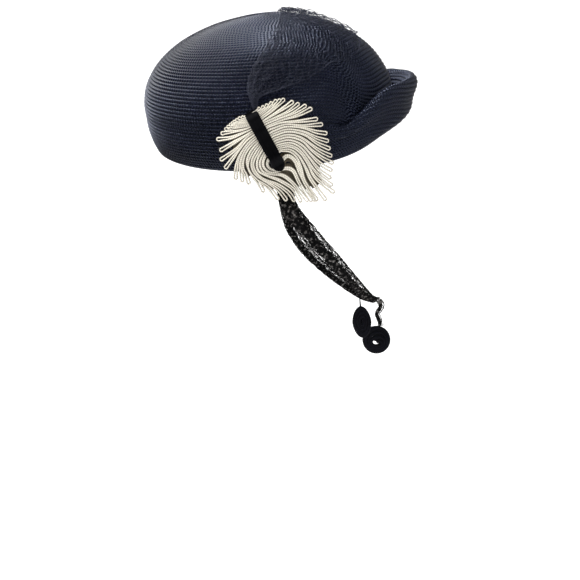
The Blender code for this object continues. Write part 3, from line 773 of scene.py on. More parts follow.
@dataclass(frozen=True)
class StrawSize:
    """How the braid is sewn, in rows and metres.

    Args:
        rows, steps, sides: rows of braid, rings of points in each and points in a ring.
        swell: how far each of a row's rings stands off the surface, as shares of the relief.
        stitch, fewest: a stitch's length, and the least stitches in a row.
        centre, inner_centre: the arc at which each face starts.
        start: the azimuth where the rows start.
    """

    rows: int = 64
    steps: int = 4
    sides: int = 384
    swell: tuple[float, ...] = (-0.50, 0.30, 0.50, 0.12)
    relief: float = 0.00085
    stitch: float = 0.0022
    fewest: int = 6
    inner_rows: int = 130
    inner_sides: int = 240
    edge_radius: float = 0.0011
    centre: float = 0.0008
    inner_centre: float = 0.001
    start: float = 90.0


class StrawCrown(Part[HatForm, StrawSize]):
    """The crown and rolled brim: one continuous braid sewn in rows, its lining face and its edge."""

    def build(self) -> list[Object]:
        """Makes the outer face, the inner face and the edge.

        Returns:
            The three pieces.
        """
        material = self.looks.fabric(STRAW)
        return [self.settle(make(material), Slot.STRAW, "straw_crown")
                for make in (self._outer, self._inner, self._edge)]

    def _rings(self, arcs: Array, sides: int) -> tuple[Array, Array]:
        """Points and outward directions of the rings at these arcs."""
        azimuth = self.size.start + np.arange(sides) * 360.0 / sides
        return self.ground.sample(*np.broadcast_arrays(azimuth[None, :], arcs[:, None]))

    def _outer(self, material: Material) -> Object:
        """Rows that swell between their seams, with the stitches counted along each.

        Args:
            material: the straw's.

        Returns:
            The piece.
        """
        size = self.size
        rings = size.rows * size.steps + 1
        arcs = np.linspace(0.0, 1.0, rings)
        arcs[0] = size.centre
        point, out = self._rings(arcs, size.sides)
        grid = point + out * (np.resize(size.swell, rings) * size.relief)[:, None, None]
        across = np.arange(size.steps + 1) / size.steps
        sketch = MeshSketch()
        for row in range(size.rows):
            ring = grid[row * size.steps : (row + 1) * size.steps + 1]
            count = max(round(run_of(ring[2])[-1] / size.stitch), size.fewest)
            along = np.linspace(0.0, count, size.sides + 1)
            sketch.add_grid(ring, along[None, :], row + across[:, None], closed=True)
        return self._welded(sketch, rings).build("straw_outer", material)

    def _welded(self, sketch: MeshSketch, rings: int) -> MeshSketch:
        """The rows share the ring between them, so that the surface is one.

        Args:
            sketch: the rows one after another.
            rings: how many rings they have in all.

        Returns:
            The sketch with one point where two rows meet.
        """
        steps, sides = self.size.steps, self.size.sides
        ring = np.arange(sketch.count) // sides
        row, step = ring // (steps + 1), ring % (steps + 1)
        target = (row * steps + step) * sides + np.arange(sketch.count) % sides
        points = np.empty((rings * sides, 3))
        points[target] = np.concatenate(sketch.points)
        sketch.faces = target[np.array(sketch.faces)].tolist()
        sketch.points = [points]
        sketch.count = len(points)
        return sketch

    def _inner(self, material: Material) -> Object:
        """The face inside, one wall under the outer one.

        Args:
            material: the straw's.

        Returns:
            The piece.
        """
        size = self.size
        arcs = np.linspace(1.0, 0.0, size.inner_rows)
        arcs[-1] = size.inner_centre
        point, out = self._rings(arcs, size.inner_sides)
        grid = point - out * self.ground.size.wall
        stitches = np.linspace(0.0, run_of(grid[10])[-1] / size.stitch, size.inner_sides + 1)
        sketch = MeshSketch()
        sketch.add_grid(grid, stitches[None, :], size.rows * arcs[:, None], closed=True)
        return sketch.build("straw_inner", material)

    def _edge(self, material: Material) -> Object:
        """The cord that closes the wall at the edge.

        Args:
            material: the straw's.

        Returns:
            The piece.
        """
        azimuth = self.size.start + np.arange(721) * 0.5
        point, out = self.ground.sample(azimuth, np.ones(len(azimuth)))
        path = point - out * self.ground.size.wall / 2
        sketch = MeshSketch()
        section = round_section(self.size.edge_radius, 8, 1.1)
        sketch.add_tube(path, *ways(path, out), section, 1.0 / self.size.stitch)
        return sketch.build("straw_edge", material)


VEIL_LINES = (
    # back_azimuth, back_arc, front_azimuth, front_arc
    (-99.5, 0.735, -98, 0.732),
    (-101, 0.690, -97, 0.682),
    (-102, 0.640, -87, 0.650),
    (-100, 0.560, -74, 0.610),
    (-95, 0.490, -60, 0.540),
    (-88, 0.390, -47, 0.450),
    (-78, 0.240, -24, 0.390),
    (46, 0.110, -9, 0.340),
    (76, 0.260, 16, 0.380),
    (84, 0.400, 34, 0.460),
)


@dataclass(frozen=True)
class VeilSize:
    """The net's sizes in metres, and its meshes in number.

    Args:
        thread, hem: a thread's and a hem's radius.
        lift, billow: how far the net lies off the crown, and how much further between where it touches.
        step: the distance between a thread's points.
        fold_reach, fold_lift: how much of the width is folded over, and how far it lies off the net.
        knot: how much thicker a thread is at a knot.
        gathered: a thread's thickness where it is gathered, and how soon it grows.
        wander, hem_wander: how far threads and hems wander across, and in what pitch.
        middle: where the threads' outward directions start.
    """

    thread: float = 0.00014
    hem: float = 0.00034
    lift: float = 0.0011
    billow: float = 0.0016
    meshes_across: int = 9
    meshes_along: int = 26
    step: float = 0.0011
    fold_reach: float = 0.42
    fold_lift: float = 0.0010
    knot: float = 0.9
    gathered: tuple[float, float] = (0.3, 8.0)
    wander: tuple[float, float] = (0.012, 170.0)
    hem_wander: tuple[float, float] = (0.006, 90.0)
    middle: Point = (0.0, 0.0, -0.09)


VEIL_HEMS = (
    # place across, radius as a share of the hem's, height over the net as a share of the fold's
    (0.0, 1.0, 0.0), (0.045, 0.8, 0.3), (0.14, 0.7, 1.0), (1.0, 0.8, 0.0),
)


class Veil(Part[HatForm, VeilSize]):
    """The net gathered under the ribbon and spread over the crown's top, folded over along its back."""

    def __init__(self, looks: Looks, ground: HatForm, size: VeilSize) -> None:
        """Spreads the net's lines evenly along it.

        Args:
            looks: the groups and materials.
            ground: the straw's form.
            size: the net's sizes.
        """
        super().__init__(looks, ground, size)
        lines = np.array(VEIL_LINES, float)
        ends = [lines[:, column + 1] * wave(np.radians(lines[:, column]))
                for column in (0, 2) for wave in (np.cos, np.sin)]
        self.ends = along_curve(smooth_curve(np.stack(ends, axis=1), 12), 200)

    def place(self, along: Array, across: Array, lift: Array | float) -> Array:
        """Points of the net by shares along it and across it.

        Args:
            along: shares along the net.
            across: shares across it.
            lift: how far off the straw.

        Returns:
            (..., 3) points.
        """
        run = np.linspace(0.0, 1.0, len(self.ends))
        line = np.stack([np.interp(along, run, self.ends[:, j]) for j in range(4)], axis=-1)
        flat = line[..., :2] + (line[..., 2:] - line[..., :2]) * np.asarray(across)[..., None]
        azimuth = np.degrees(np.arctan2(flat[..., 1], flat[..., 0]))
        return self.ground.lifted(azimuth, np.hypot(flat[..., 0], flat[..., 1]), lift)

    def _lift(self, along: Array, across: Array, base: float) -> Array:
        """How far the net stands off the crown: it billows a little between where it touches."""
        wave = np.sin(along * 61.0 + across * 9.0) * np.sin(across * 23.0 - along * 37.0)
        return base + self.size.billow * (0.5 + 0.5 * wave) * np.minimum(1.0, along * 5.0)

    def _thread(
        self, sketch: MeshSketch, along: Array, across: Array, radius: float, base: float,
        knots: float = 0.0,
    ) -> None:
        """One thread through places of the net, thicker at its knots and thinner where it is gathered.

        Args:
            sketch: takes the thread.
            along, across: the places it goes through.
            radius: its radius.
            base: how far the net lies off the crown.
            knots: how many knots it has.
        """
        size = self.size
        path = self.place(along, across, self._lift(along, across, base))
        count = max(int(run_of(path)[-1] / size.step), 3)
        path = along_curve(path, count)
        share = np.linspace(0.0, 1.0, count)
        swell = np.ones(count)
        if knots:
            swell += size.knot * np.maximum(0.0, np.cos(2 * np.pi * share * knots)) ** 8
        thin, grow = size.gathered
        start = float(along[0]) + (float(along[-1]) - float(along[0])) * share
        swell = swell * np.clip(thin + start * grow, 0.0, 1.0)
        section = round_section(radius, 4)[None] * swell[:, None, None]
        sketch.add_tube(path, *ways(path, unit(path - np.array(size.middle))), section)

    def _net(self, reach: float, base: float, shift: float) -> MeshSketch:
        """A diamond net over the share of the width up to reach.

        Args:
            reach: the share of the width that it covers.
            base: how far it lies off the crown.
            shift: how far its meshes are shifted, in meshes.

        Returns:
            The sketch of all its threads.
        """
        size = self.size
        sketch = MeshSketch()
        half = size.meshes_along + size.meshes_across
        wander, pitch = size.wander
        t = np.linspace(0.0, 1.0, 120)
        for way in (1, -1):
            for number in range(-half, half + 1):
                along = (number + shift) / size.meshes_along + t / (size.meshes_along / size.meshes_across)
                across = (t if way > 0 else 1.0 - t) + wander * np.sin(along * pitch + number)
                keep = (along >= 0.0) & (along <= 1.0) & (across >= 0.0) & (across <= reach)
                if keep.sum() < 6:
                    continue
                knots = float(np.ptp(across[keep])) * size.meshes_across * 2
                self._thread(sketch, along[keep], across[keep], size.thread, base, knots)
        return sketch

    def build(self) -> list[Object]:
        """Makes the net with its hems, and the part folded over it.

        Returns:
            The net and the fold.
        """
        size = self.size
        material = self.looks.fabric(NET)
        net = self._net(1.0, size.lift, 0.0)
        t = np.linspace(0.0, 1.0, 260)
        wander, pitch = size.hem_wander
        for across, thick, high in VEIL_HEMS:
            line = across + wander * np.sin(t * pitch)
            self._thread(net, t, line, size.hem * thick, size.lift + size.fold_lift * high)
        self._thread(net, np.ones(60), np.linspace(0, 1, 60), size.hem * 0.8, size.lift)
        fold = self._net(size.fold_reach, size.lift + size.fold_lift, 0.5)
        pieces = [net.build("veil_threads", material), fold.build("veil_fold", material)]
        return [self.settle(piece, Slot.NET, "veil") for piece in pieces]


@dataclass(frozen=True)
class CockadeSize:
    """The rosette's sizes, in metres and degrees.

    Args:
        radius: the rosette's, which the tables below count in.
        azimuth, arc: its middle's place on the straw.
        lean: how far its plane leans back.
        curve, stand: its back's radius of curvature, and how far the back stands off the straw.
        thickness, rim: height of the cords over the back, in the middle and at the rim.
        tip_gap, tip_cord: half a tip's opening and a cord's width there, as a share of the room and in
            metres at least and at most.
        narrowest, widest: the room that a loop has at least and at most.
        filled, pair: the share of its room that a loop fills, and of that a cord's width.
        base: the foot's height as a share of the cords'.
        tuck: how far a loop's start goes in under the ribbon, across and down, in radii.
        opens, narrows: where a loop opens and its cords narrow towards the tip, and over how much of it.
        proud: how much every second loop stands out.
        foot_room, foot_widest: how much wider the foot is than the room, and its most.
        joined: how much of a loop has a foot, from the middle ranks to the low ones.
        seam, seam_room: where the foot between the last loops starts and ends, and how much wider it is.
        cord_clear, foot_clear, top_clear: how far a cord and the foot stay off the back, and a cord
            under the top.
        tip_reach: the most of a loop's length that half its opening takes.
        blunt: how much wider than half its opening a cord is at a tip at most, and how late a tip opens.
    """

    radius: float = 0.034
    azimuth: float = -95.0
    arc: float = 0.905
    lean: float = 18.0
    curve: float = 0.16
    stand: float = 0.00468
    thickness: float = 0.0042
    rim: float = 0.0015
    tip_gap: tuple[float, float, float] = (0.29, 0.0009, 0.0018)
    tip_cord: tuple[float, float, float] = (0.28, 0.00074, 0.0013)
    narrowest: float = 0.0009
    widest: float = 0.0033
    filled: float = 0.80
    pair: float = 0.59
    base: float = 0.34
    tuck: tuple[float, float] = (0.084, 0.054)
    opens: tuple[float, float] = (0.62, 0.38)
    narrows: tuple[float, float] = (0.55, 0.35)
    proud: float = 0.00022
    foot_room: float = 1.15
    foot_widest: float = 2.0
    joined: tuple[float, float] = (0.62, 0.78)
    seam: tuple[float, float] = (0.60, 0.92)
    seam_room: float = 1.3
    cord_clear: float = 0.0002
    foot_clear: float = 0.0003
    top_clear: float = 0.0001
    tip_reach: float = 0.16
    blunt: float = 1.3

COCKADE_OUTLINE = (
    # direction in degrees, reach as a share of the radius
    (2, 1.05), (16, 1.03), (33, 0.98), (51, 0.96), (66, 0.89), (82, 0.83), (95, 0.75), (107, 0.70),
    (128, 0.70), (142, 0.78), (155, 0.86), (168, 0.94), (181, 0.87), (202, 0.86), (221, 0.79),
    (235, 0.72), (250, 0.72), (279, 0.87), (288, 0.93), (301, 1.05), (312, 1.22), (326, 1.345),
    (348, 1.12),
)

# The loops' middle lines by rank down the ribbon, forward of it and behind it: places across and up
# from the cockade's middle, in hundredths of its radius. Ranks between two rows lie between them.
FORWARD_LOOPS = {
    0: ((-21, 68), (-18, 69.5), (-15, 71)),
    1: ((-17, 64), (-9, 70), (-2, 77)),
    2: ((-14, 60), (0, 71), (13, 84)),
    3: ((-11, 55), (6, 67), (19, 79), (26, 86)),
    4: ((-9, 51), (10, 62), (28, 73), (41, 82)),
    5: ((-6, 49), (13, 57), (33, 66), (51, 79)),
    6: ((-4, 46), (19, 55), (41, 63), (63, 76)),
    7: ((-2, 43), (22, 52), (47, 59), (73, 71)),
    8: ((0, 41), (23, 48), (51, 50), (83, 54)),
    9: ((2, 37), (29, 45), (59, 43), (92, 45)),
    10: ((5, 33), (29, 41), (59, 39), (80, 33), (100, 30)),
    12: ((8, 26), (32, 33), (60, 28), (83, 14), (106, 4)),
    14: ((12, 19), (33, 24), (56, 18), (74, 2), (94, -12), (113, -21)),
    16: ((15, 12), (36, 15), (54, 7), (70, -11), (88, -32), (109, -47)),
    18: ((18, 6), (36, 8), (53, -2), (67, -21), (81, -45), (116, -73)),
    19: ((19, 3), (35, 4), (50, -6), (62, -25), (73, -48), (101, -86)),
    20: ((20, 1), (35, 0), (47, -9), (54, -25), (61, -51), (85, -86)),
}
BACK_LOOPS = {
    0: ((-38, 57), (-40, 57.5), (-42, 58)),
    1: ((-36, 53), (-45, 54), (-53, 55)),
    2: ((-34, 50), (-48, 49), (-62, 49)),
    3: ((-33, 46), (-50, 45), (-69, 44)),
    4: ((-31, 43), (-50, 40), (-77, 37)),
    5: ((-30, 41), (-50, 35), (-84, 30)),
    6: ((-28, 38), (-45, 31), (-67, 23), (-92, 20)),
    7: ((-27, 35), (-42, 26), (-63, 14), (-87, 1)),
    8: ((-26, 32), (-41, 22), (-58, 4), (-87, -15)),
    9: ((-24, 29), (-38, 19), (-54, 1), (-79, -29)),
    10: ((-22, 26), (-37, 14), (-51, -5), (-58, -24), (-61, -48)),
    12: ((-19, 20), (-32, 9), (-43, -7), (-47, -27), (-41, -42), (-37, -56)),
    14: ((-16, 14), (-28, 0), (-36, -16), (-36, -31), (-23, -47), (-2, -62),
         (15, -83)),
    16: ((-13, 8), (-22, -6), (-28, -20), (-24, -34), (-11, -46), (12, -55),
         (33, -70), (44, -86)),
    17: ((-11, 4), (-19, -9), (-22, -22), (-18, -34), (-3, -41), (18, -49),
         (41, -64), (56, -88)),
    18: ((-8, 0), (-15, -12), (-17, -23), (-11, -34), (3, -38), (23, -40),
         (42, -55), (68, -87)),
    19: ((-6, -5), (-11, -16), (-10, -26), (-1, -34), (12, -34), (26, -28),
         (41, -32), (53, -55), (75, -87)),
    20: ((-1, -12), (-4, -20), (0, -28), (10, -31), (19, -23), (24, -12),
         (33, -7), (45, -16), (55, -40), (81, -87)),
}


class Rosette:
    """Where the cockade lies: its plane, and the heights of its back and front."""

    def __init__(self, form: HatForm, size: CockadeSize) -> None:
        """Finds its middle on the straw.

        Args:
            form: the straw's form.
            size: the cockade's sizes.
        """
        self.size = size
        lean = math.radians(size.lean)
        self.middle = form.sample(np.array(size.azimuth), np.array(size.arc))[0]
        self.front = np.array([0.0, -math.cos(lean), -math.sin(lean)])
        self.up = np.array([0.0, -math.sin(lean), math.cos(lean)])
        self.across = np.array([1.0, 0.0, 0.0])
        outline = np.array(COCKADE_OUTLINE, float)
        self.directions, self.reaches = outline[:, 0], outline[:, 1]

    def spot(self, across: Array, up: Array, height: Array) -> Array:
        """Points across, up and out from the middle, in metres."""
        across, up, height = (np.asarray(value)[..., None] for value in (across, up, height))
        return self.middle + self.across * across + self.up * up + self.front * height

    def reach(self, across: Array | float, up: Array | float) -> Array:
        """How far the outline lies from the middle in the direction of this place."""
        direction = np.degrees(np.arctan2(up, across))
        return self.size.radius * round_curve(self.directions, self.reaches, direction)

    def back(self, across: Array) -> Array:
        """Height of the back, which is round across."""
        return self.size.stand - np.asarray(across) ** 2 / (2 * self.size.curve)

    def top(self, across: Array, up: Array) -> Array:
        """Height of the cords' tops: a low dome over the back.

        Args:
            across, up: places in metres.

        Returns:
            Heights in metres.
        """
        size = self.size
        share = np.minimum(np.hypot(across, up) / self.reach(across, up), 1.0)
        return self.back(across) + size.rim + (size.thickness - size.rim) * (1.0 - share**2)


class Cockade(Part[Rosette, CockadeSize]):
    """Flat soutache cord on edge, in hairpin loops that spring from under the ribbon."""

    forward_ranks = (*np.arange(0, 3, 0.5), *range(3, 21))
    back_ranks = (*np.arange(0, 4, 0.5), *range(4, 21))
    samples = 46
    profile = ((0.0, 1.0), (-1.0, 1.0), (-1.0, -1.0), (-0.64, -0.26), (0.0, 0.0), (0.64, -0.26), (1.0, -1.0),
               (1.0, 1.0))

    def _lines(self, guides: dict[int, tuple[tuple[float, float], ...]], ranks: tuple[float, ...]) -> list:
        """The middle line of every loop on one side, in metres.

        Args:
            guides: the table of one side's lines.
            ranks: the loops' ranks.

        Returns:
            A (samples, 2) line for each rank.
        """
        even = {
            rank: along_curve(smooth_curve(np.array(guide) / 100.0, 10), self.samples)
            for rank, guide in guides.items()
        }
        lines = []
        for rank in ranks:
            low = max(known for known in guides if known <= rank)
            high = min(known for known in guides if known >= rank)
            share = 0.0 if high == low else (rank - low) / (high - low)
            lines.append((even[low] * (1 - share) + even[high] * share) * self.size.radius)
        return lines

    def _room(self, lines: list[Array], number: int, foot: bool = False) -> Array:
        """The width that each sample of a line has between its neighbours, or needs for a gapless foot.

        Args:
            lines: one side's middle lines.
            number: the line's number.
            foot: whether the width is the foot's.

        Returns:
            A width for each sample.
        """
        size = self.size
        line = lines[number]
        near = [smooth_curve(lines[i], 3) for i in (number - 1, number + 1) if 0 <= i < len(lines)]
        gaps = [np.linalg.norm(line[:, None] - other[None], axis=2).min(axis=1) for other in near]
        room = np.max(gaps, axis=0) * size.foot_room if foot else np.mean(gaps, axis=0)
        room = np.clip(room, size.narrowest, size.widest * (size.foot_widest if foot else 1.0))
        return np.convolve(np.pad(room, 3, mode="edge"), np.ones(7) / 7, mode="valid")

    def _hairpin(self, line: Array, room: Array, inward: Array) -> Array:
        """The cord's way out along one side of a middle line, round the tip and back, with its width.

        Args:
            line: the loop's middle line.
            room: its width.
            inward: how far its start goes in under the ribbon.

        Returns:
            (N, 3) places across and up, and the cord's width.
        """
        size = self.size
        line = np.vstack([line[:1] + inward, line])
        room = np.concatenate([room[:1], room])
        run = run_of(line)
        share = run / run[-1]
        open_tip, cord = (
            float(np.clip(float(room[-8:].mean()) * part, least, most))
            for part, least, most in (size.tip_gap, size.tip_cord)
        )
        open_tip = min(open_tip, run[-1] * size.tip_reach)
        cord = min(cord, open_tip * size.blunt)
        opening, narrowing = (
            np.clip((share - start) / length, 0.0, 1.0) for start, length in (size.opens, size.narrows)
        )
        close = room * size.filled * (1.0 - size.pair) / 2
        gap = close + (open_tip - close) * opening**size.blunt
        width = room * size.filled * size.pair
        width = width + (cord - width) * narrowing
        ahead = unit(np.gradient(line, axis=0))
        square = np.stack([-ahead[:, 1], ahead[:, 0]], axis=1)
        keep = run < run[-1] - open_tip
        left, right = (
            np.hstack([line + way * square * gap[:, None], width[:, None]])[keep] for way in (1.0, -1.0)
        )
        turn = np.linspace(math.pi / 2, -math.pi / 2, 11)[:, None]
        centre = line[-1] - ahead[-1] * open_tip
        tip = centre + square[-1] * np.sin(turn) * open_tip + ahead[-1] * np.cos(turn) * open_tip
        return np.vstack([left, np.hstack([tip, np.full((len(turn), 1), cord)]), right[::-1]])

    def build(self) -> Object:
        """Makes all the loops as one piece, and their foot: a dark strip that paints the shade between the
        cords.

        Returns:
            The loops.
        """
        size = self.size
        sketch, foot = MeshSketch(), MeshSketch()
        ends: list[Array] = []
        for guides, ranks, way in (
            (FORWARD_LOOPS, self.forward_ranks, -1.0), (BACK_LOOPS, self.back_ranks, 1.0),
        ):
            lines = self._lines(guides, ranks)
            inward = way * np.array(size.tuck) * size.radius
            for number, line in enumerate(lines):
                path = self._hairpin(line, self._room(lines, number), inward)
                path = along_curve(np.insert(path, 2, 0.0, axis=1), len(path) + 20)
                self._cord(sketch, path[:, 0], path[:, 1], path[:, 3] / 2, size.proud * (number % 2))
                self._base(foot, line, self._room(lines, number, foot=True), ranks[number])
            ends.append(lines[-1])
        self._seam(foot, *ends)
        # The foot's dark brown paints the shade between the cords.
        self.settle(foot.build("cockade_foot_shade", self.looks.fabric(CORD_FOOT_SHADE)), Slot.CORD, "cockade")
        return self.settle(sketch.build("cockade_loops", self.looks.fabric(CORD)), Slot.CORD, "cockade")

    def _seam(self, sketch: MeshSketch, ahead: Array, behind: Array) -> None:
        """The dark foot, painted shade, where the last loops forward of the ribbon and behind it lie side by
        side.

        Args:
            sketch: takes the foot.
            ahead: the last middle line forward of the ribbon.
            behind: the last one behind it.
        """
        span = slice(*(int(len(ahead) * share) for share in self.size.seam))
        gap = np.linalg.norm(ahead[:, None] - behind[None], axis=2)
        middle = (ahead + behind[gap.argmin(axis=1)]) / 2
        self._strip(sketch, middle[span], gap.min(axis=1)[span] * self.size.seam_room)

    def _base(self, sketch: MeshSketch, line: Array, room: Array, rank: float) -> None:
        """The low dark foot between a loop's two cords, as far as they lie close: painted shade between them.
        """
        keep = int(len(line) * float(np.interp(rank, (12, 15), self.size.joined)))
        self._strip(sketch, line[:keep], room[:keep])

    def _strip(self, sketch: MeshSketch, line: Array, wide: Array) -> None:
        """A low strip on the cockade's back.

        Args:
            sketch: takes the strip.
            line: its middle line.
            wide: its width at each point.
        """
        across, up = line.T
        low = self.ground.back(across) + self.size.foot_clear
        tall = (self.ground.top(across, up) - low) * self.size.base
        corners = ((-1, 0), (-1, 1), (1, 1), (1, 0))
        self._ridge(sketch, across, up, low, [(wide / 2 * out, tall * high) for out, high in corners])

    def _cord(self, sketch: MeshSketch, across: Array, up: Array, half: Array, proud: float) -> None:
        """One cord on edge, from the cockade's back to its front, with a rounded top.

        Args:
            sketch: takes the cord.
            across, up: its way.
            half: half its width.
            proud: how much it stands out over the cockade's top.
        """
        low = self.ground.back(across) + self.size.cord_clear
        tall = self.ground.top(across, up) - self.size.top_clear + proud - low
        self._ridge(sketch, across, up, low, [
            (half * out, tall + half * drop if drop < 1.0 else np.zeros_like(tall))
            for out, drop in self.profile
        ])

    def _ridge(
        self, sketch: MeshSketch, across: Array, up: Array, low: Array,
        section: list[tuple[Array, Array]],
    ) -> None:
        """Sweeps a section along a line on the back.

        Args:
            sketch: takes the ridge.
            across, up: the line.
            low: its height at each point.
            section: each corner's places across and out.
        """
        base = self.ground.spot(across, up, low)
        side = np.cross(unit(np.gradient(base, axis=0)), self.ground.front)
        section = np.stack([np.stack(corner, axis=1) for corner in section], axis=1)
        sketch.add_tube(base, side, self.ground.front, section)


@dataclass(frozen=True)
class RibbonSize:
    """The velvet ribbon's sizes, in metres and degrees.

    Args:
        slant: how far it leans from upright.
        air: the clearance over what it lies on.
        turn: how far its upper end goes down over the rim.
        place: where the knot starts, across and up in the cockade's radii.
        sides, square: points round its section, and how square that is.
    """

    width: float = 0.0078
    thickness: float = 0.0018
    slant: float = -29.2
    knot_length: float = 0.0085
    knot_width: float = 0.0082
    knot_height: float = 0.0052
    air: float = 0.0003
    turn: float = 0.0012
    place: tuple[float, float] = (0.095, -0.095)
    sides: int = 28
    square: float = 0.6


KNOT_SHAPE = (
    # run as a share of the knot's length, width of its width, swell from the ribbon's thickness to its height
    (0.00, 0.86, 0.0),
    (0.22, 0.96, 0.35),
    (0.42, 1.00, 0.75),
    (0.62, 0.90, 1.0),
    (0.80, 0.72, 0.85),
    (0.93, 0.45, 0.50),
    (1.00, 0.16, 0.18),
)


class Ribbon(Part[Rosette, RibbonSize]):
    """The velvet ribbon across the loops, from the veil's gathers to its rolled knot."""

    def __init__(self, looks: Looks, ground: Rosette, size: RibbonSize, below: list[Object]) -> None:
        """Makes a tree of each solid below, to lie on.

        Args:
            looks: the groups and materials.
            ground: the cockade's place.
            size: the ribbon's sizes.
            below: the CAD solids that it lies on.
        """
        super().__init__(looks, ground, size)
        self.trees = [
            BVHTree.FromPolygons([v.co for v in mesh.vertices], [tuple(p.vertices) for p in mesh.polygons])
            for mesh in (obj.data for obj in below)
        ]

    def _height(self, across: float, up: float) -> float:
        """The highest of the CAD cockade and straw here.

        Args:
            across, up: a place in metres.

        Returns:
            The height in metres, or 0 where there is nothing.
        """
        far = 0.2
        start = Vector(self.ground.spot(across, up, far))
        hits = [tree.ray_cast(start, -Vector(self.ground.front)) for tree in self.trees]
        return max((far - hit[3] for hit in hits if hit[0] is not None), default=0.0)

    def build(self) -> Object:
        """Makes the ribbon and its knot as one cloth.

        Returns:
            The ribbon.
        """
        size, rosette = self.size, self.ground
        slant = math.radians(size.slant)
        way = np.array([math.sin(slant), math.cos(slant)])
        side = np.array([way[1], -way[0]])
        foot = np.array(size.place) * rosette.size.radius
        run = 0.0
        while math.hypot(*(foot + way * run)) <= rosette.reach(*(foot + way * run)) + size.air:
            run += size.air / 2
        stops = [(run + size.turn, size.width, size.thickness)]
        stops += [(run * share - size.air, size.width, size.thickness) for share in np.linspace(1.0, 0.1, 12)]
        stops += [
            (-size.knot_length * at, size.knot_width * width,
             size.thickness + (size.knot_height - size.thickness) * swell)
            for at, width, swell in KNOT_SHAPE
        ]
        rows = []
        for at, width, height in stops:
            place = foot + way * at
            rest = max(self._height(*(place + side * (width / 2 * part))) for part in (-1, -0.5, 0, 0.5, 1))
            middle = rosette.spot(place[0], place[1], rest + size.air + height / 2)
            rows.append((*middle, width, height))
        rows = smooth_curve(np.array(rows), 6)
        path = rows[:, :3]
        turn = 2 * np.pi * (np.arange(size.sides) + 0.5) / size.sides
        square = np.stack([np.cos(turn), np.sin(turn)], axis=1)
        square /= np.maximum(np.abs(square[:, :1]), np.abs(square[:, 1:])) ** size.square
        sketch = MeshSketch()
        wide = rosette.across * side[0] + rosette.up * side[1]
        sketch.add_tube(path, wide, rosette.front, square[None] * rows[:, None, 3:] / 2)
        material = self.looks.fabric(VELVET)
        piece = self.settle(sketch.build("ribbon_velvet", material), Slot.VELVET, "velvet_ribbon")
        return piece


@dataclass(frozen=True)
class StrapSize:
    """The chin strap's sizes, in metres and degrees.

    Args:
        pleat: how far its pleats stand out.
        chin_forward, chin_drop, cheek: the route's reach to the chin and to the cheeks.
        head_middle: where its outward directions start.
        tuck, ends, leaves: how far each end goes in under the edge, its azimuth, and the arc where it leaves.
        tape_width, tape_thickness, tape_drop: the loose end's.
        air: the clearance between pieces.
        thread: a loose thread's radius.
        core, core_shift: the dense part's share of the width, and how far it lies to one side.
        crumple: the mean swell of the band, and each wave's height.
        proud: how far a thread goes in and out.
        stations, tape_stations: points along the strap and along its loose end.
        sides, tape_sides, threads, tape_threads: points round each band, and its loose threads.
    """

    width: float = 0.0100
    thickness: float = 0.0022
    pleat: float = 0.0005
    chin_forward: float = 0.0729
    chin_drop: float = 0.2117
    cheek: float = 0.0760
    head_middle: Point = (0.010, 0.0, -0.120)
    tuck: float = 0.011
    ends: tuple[float, float] = (-88.0, 92.0)
    leaves: float = 0.999
    tape_width: float = 0.0043
    tape_thickness: float = 0.0016
    tape_drop: float = 0.0178
    air: float = 0.0003
    thread: float = 0.00017
    core: float = 0.66
    core_shift: float = 0.14
    crumple: tuple[float, float] = (0.80, 0.055)
    proud: float = 0.10
    stations: int = 500
    tape_stations: int = 60
    sides: int = 22
    tape_sides: int = 16
    threads: int = 64
    tape_threads: int = 12


STRAP_ROUTE = (
    # forward, side, drop and width, as shares of chin_forward, cheek, chin_drop and width
    (0.07, -0.970, 0.706, 1.00),
    (0.25, -0.921, 0.790, 1.00),
    (0.475, -0.763, 0.867, 0.92),
    (0.709, -0.474, 0.940, 0.78),
    (0.894, -0.197, 0.990, 0.66),
    (1.000, 0.000, 1.000, 0.64),
    (0.900, 0.210, 0.988, 0.66),
    (0.709, 0.500, 0.936, 0.78),
    (0.470, 0.780, 0.860, 0.92),
    (0.250, 0.930, 0.775, 1.00),
    (0.090, 1.000, 0.680, 1.00),
    (0.010, 1.010, 0.560, 1.00),
    (-0.040, 0.985, 0.440, 1.00),
    (-0.070, 0.925, 0.335, 1.00),
)
TAPE_ROUTE = (
    # forward of its start and down, as shares of tape_drop
    (0.00, 0.00), (0.10, 0.13), (0.11, 0.28), (-0.04, 0.52), (0.04, 0.72), (0.08, 0.87), (0.08, 1.00)
)
# how long a thread's waves are in millimetres, and how far round the band each takes it in radians
THREAD_WAVES = ((9.0, 0.5), (3.7, 0.45), (2.1, 0.22))


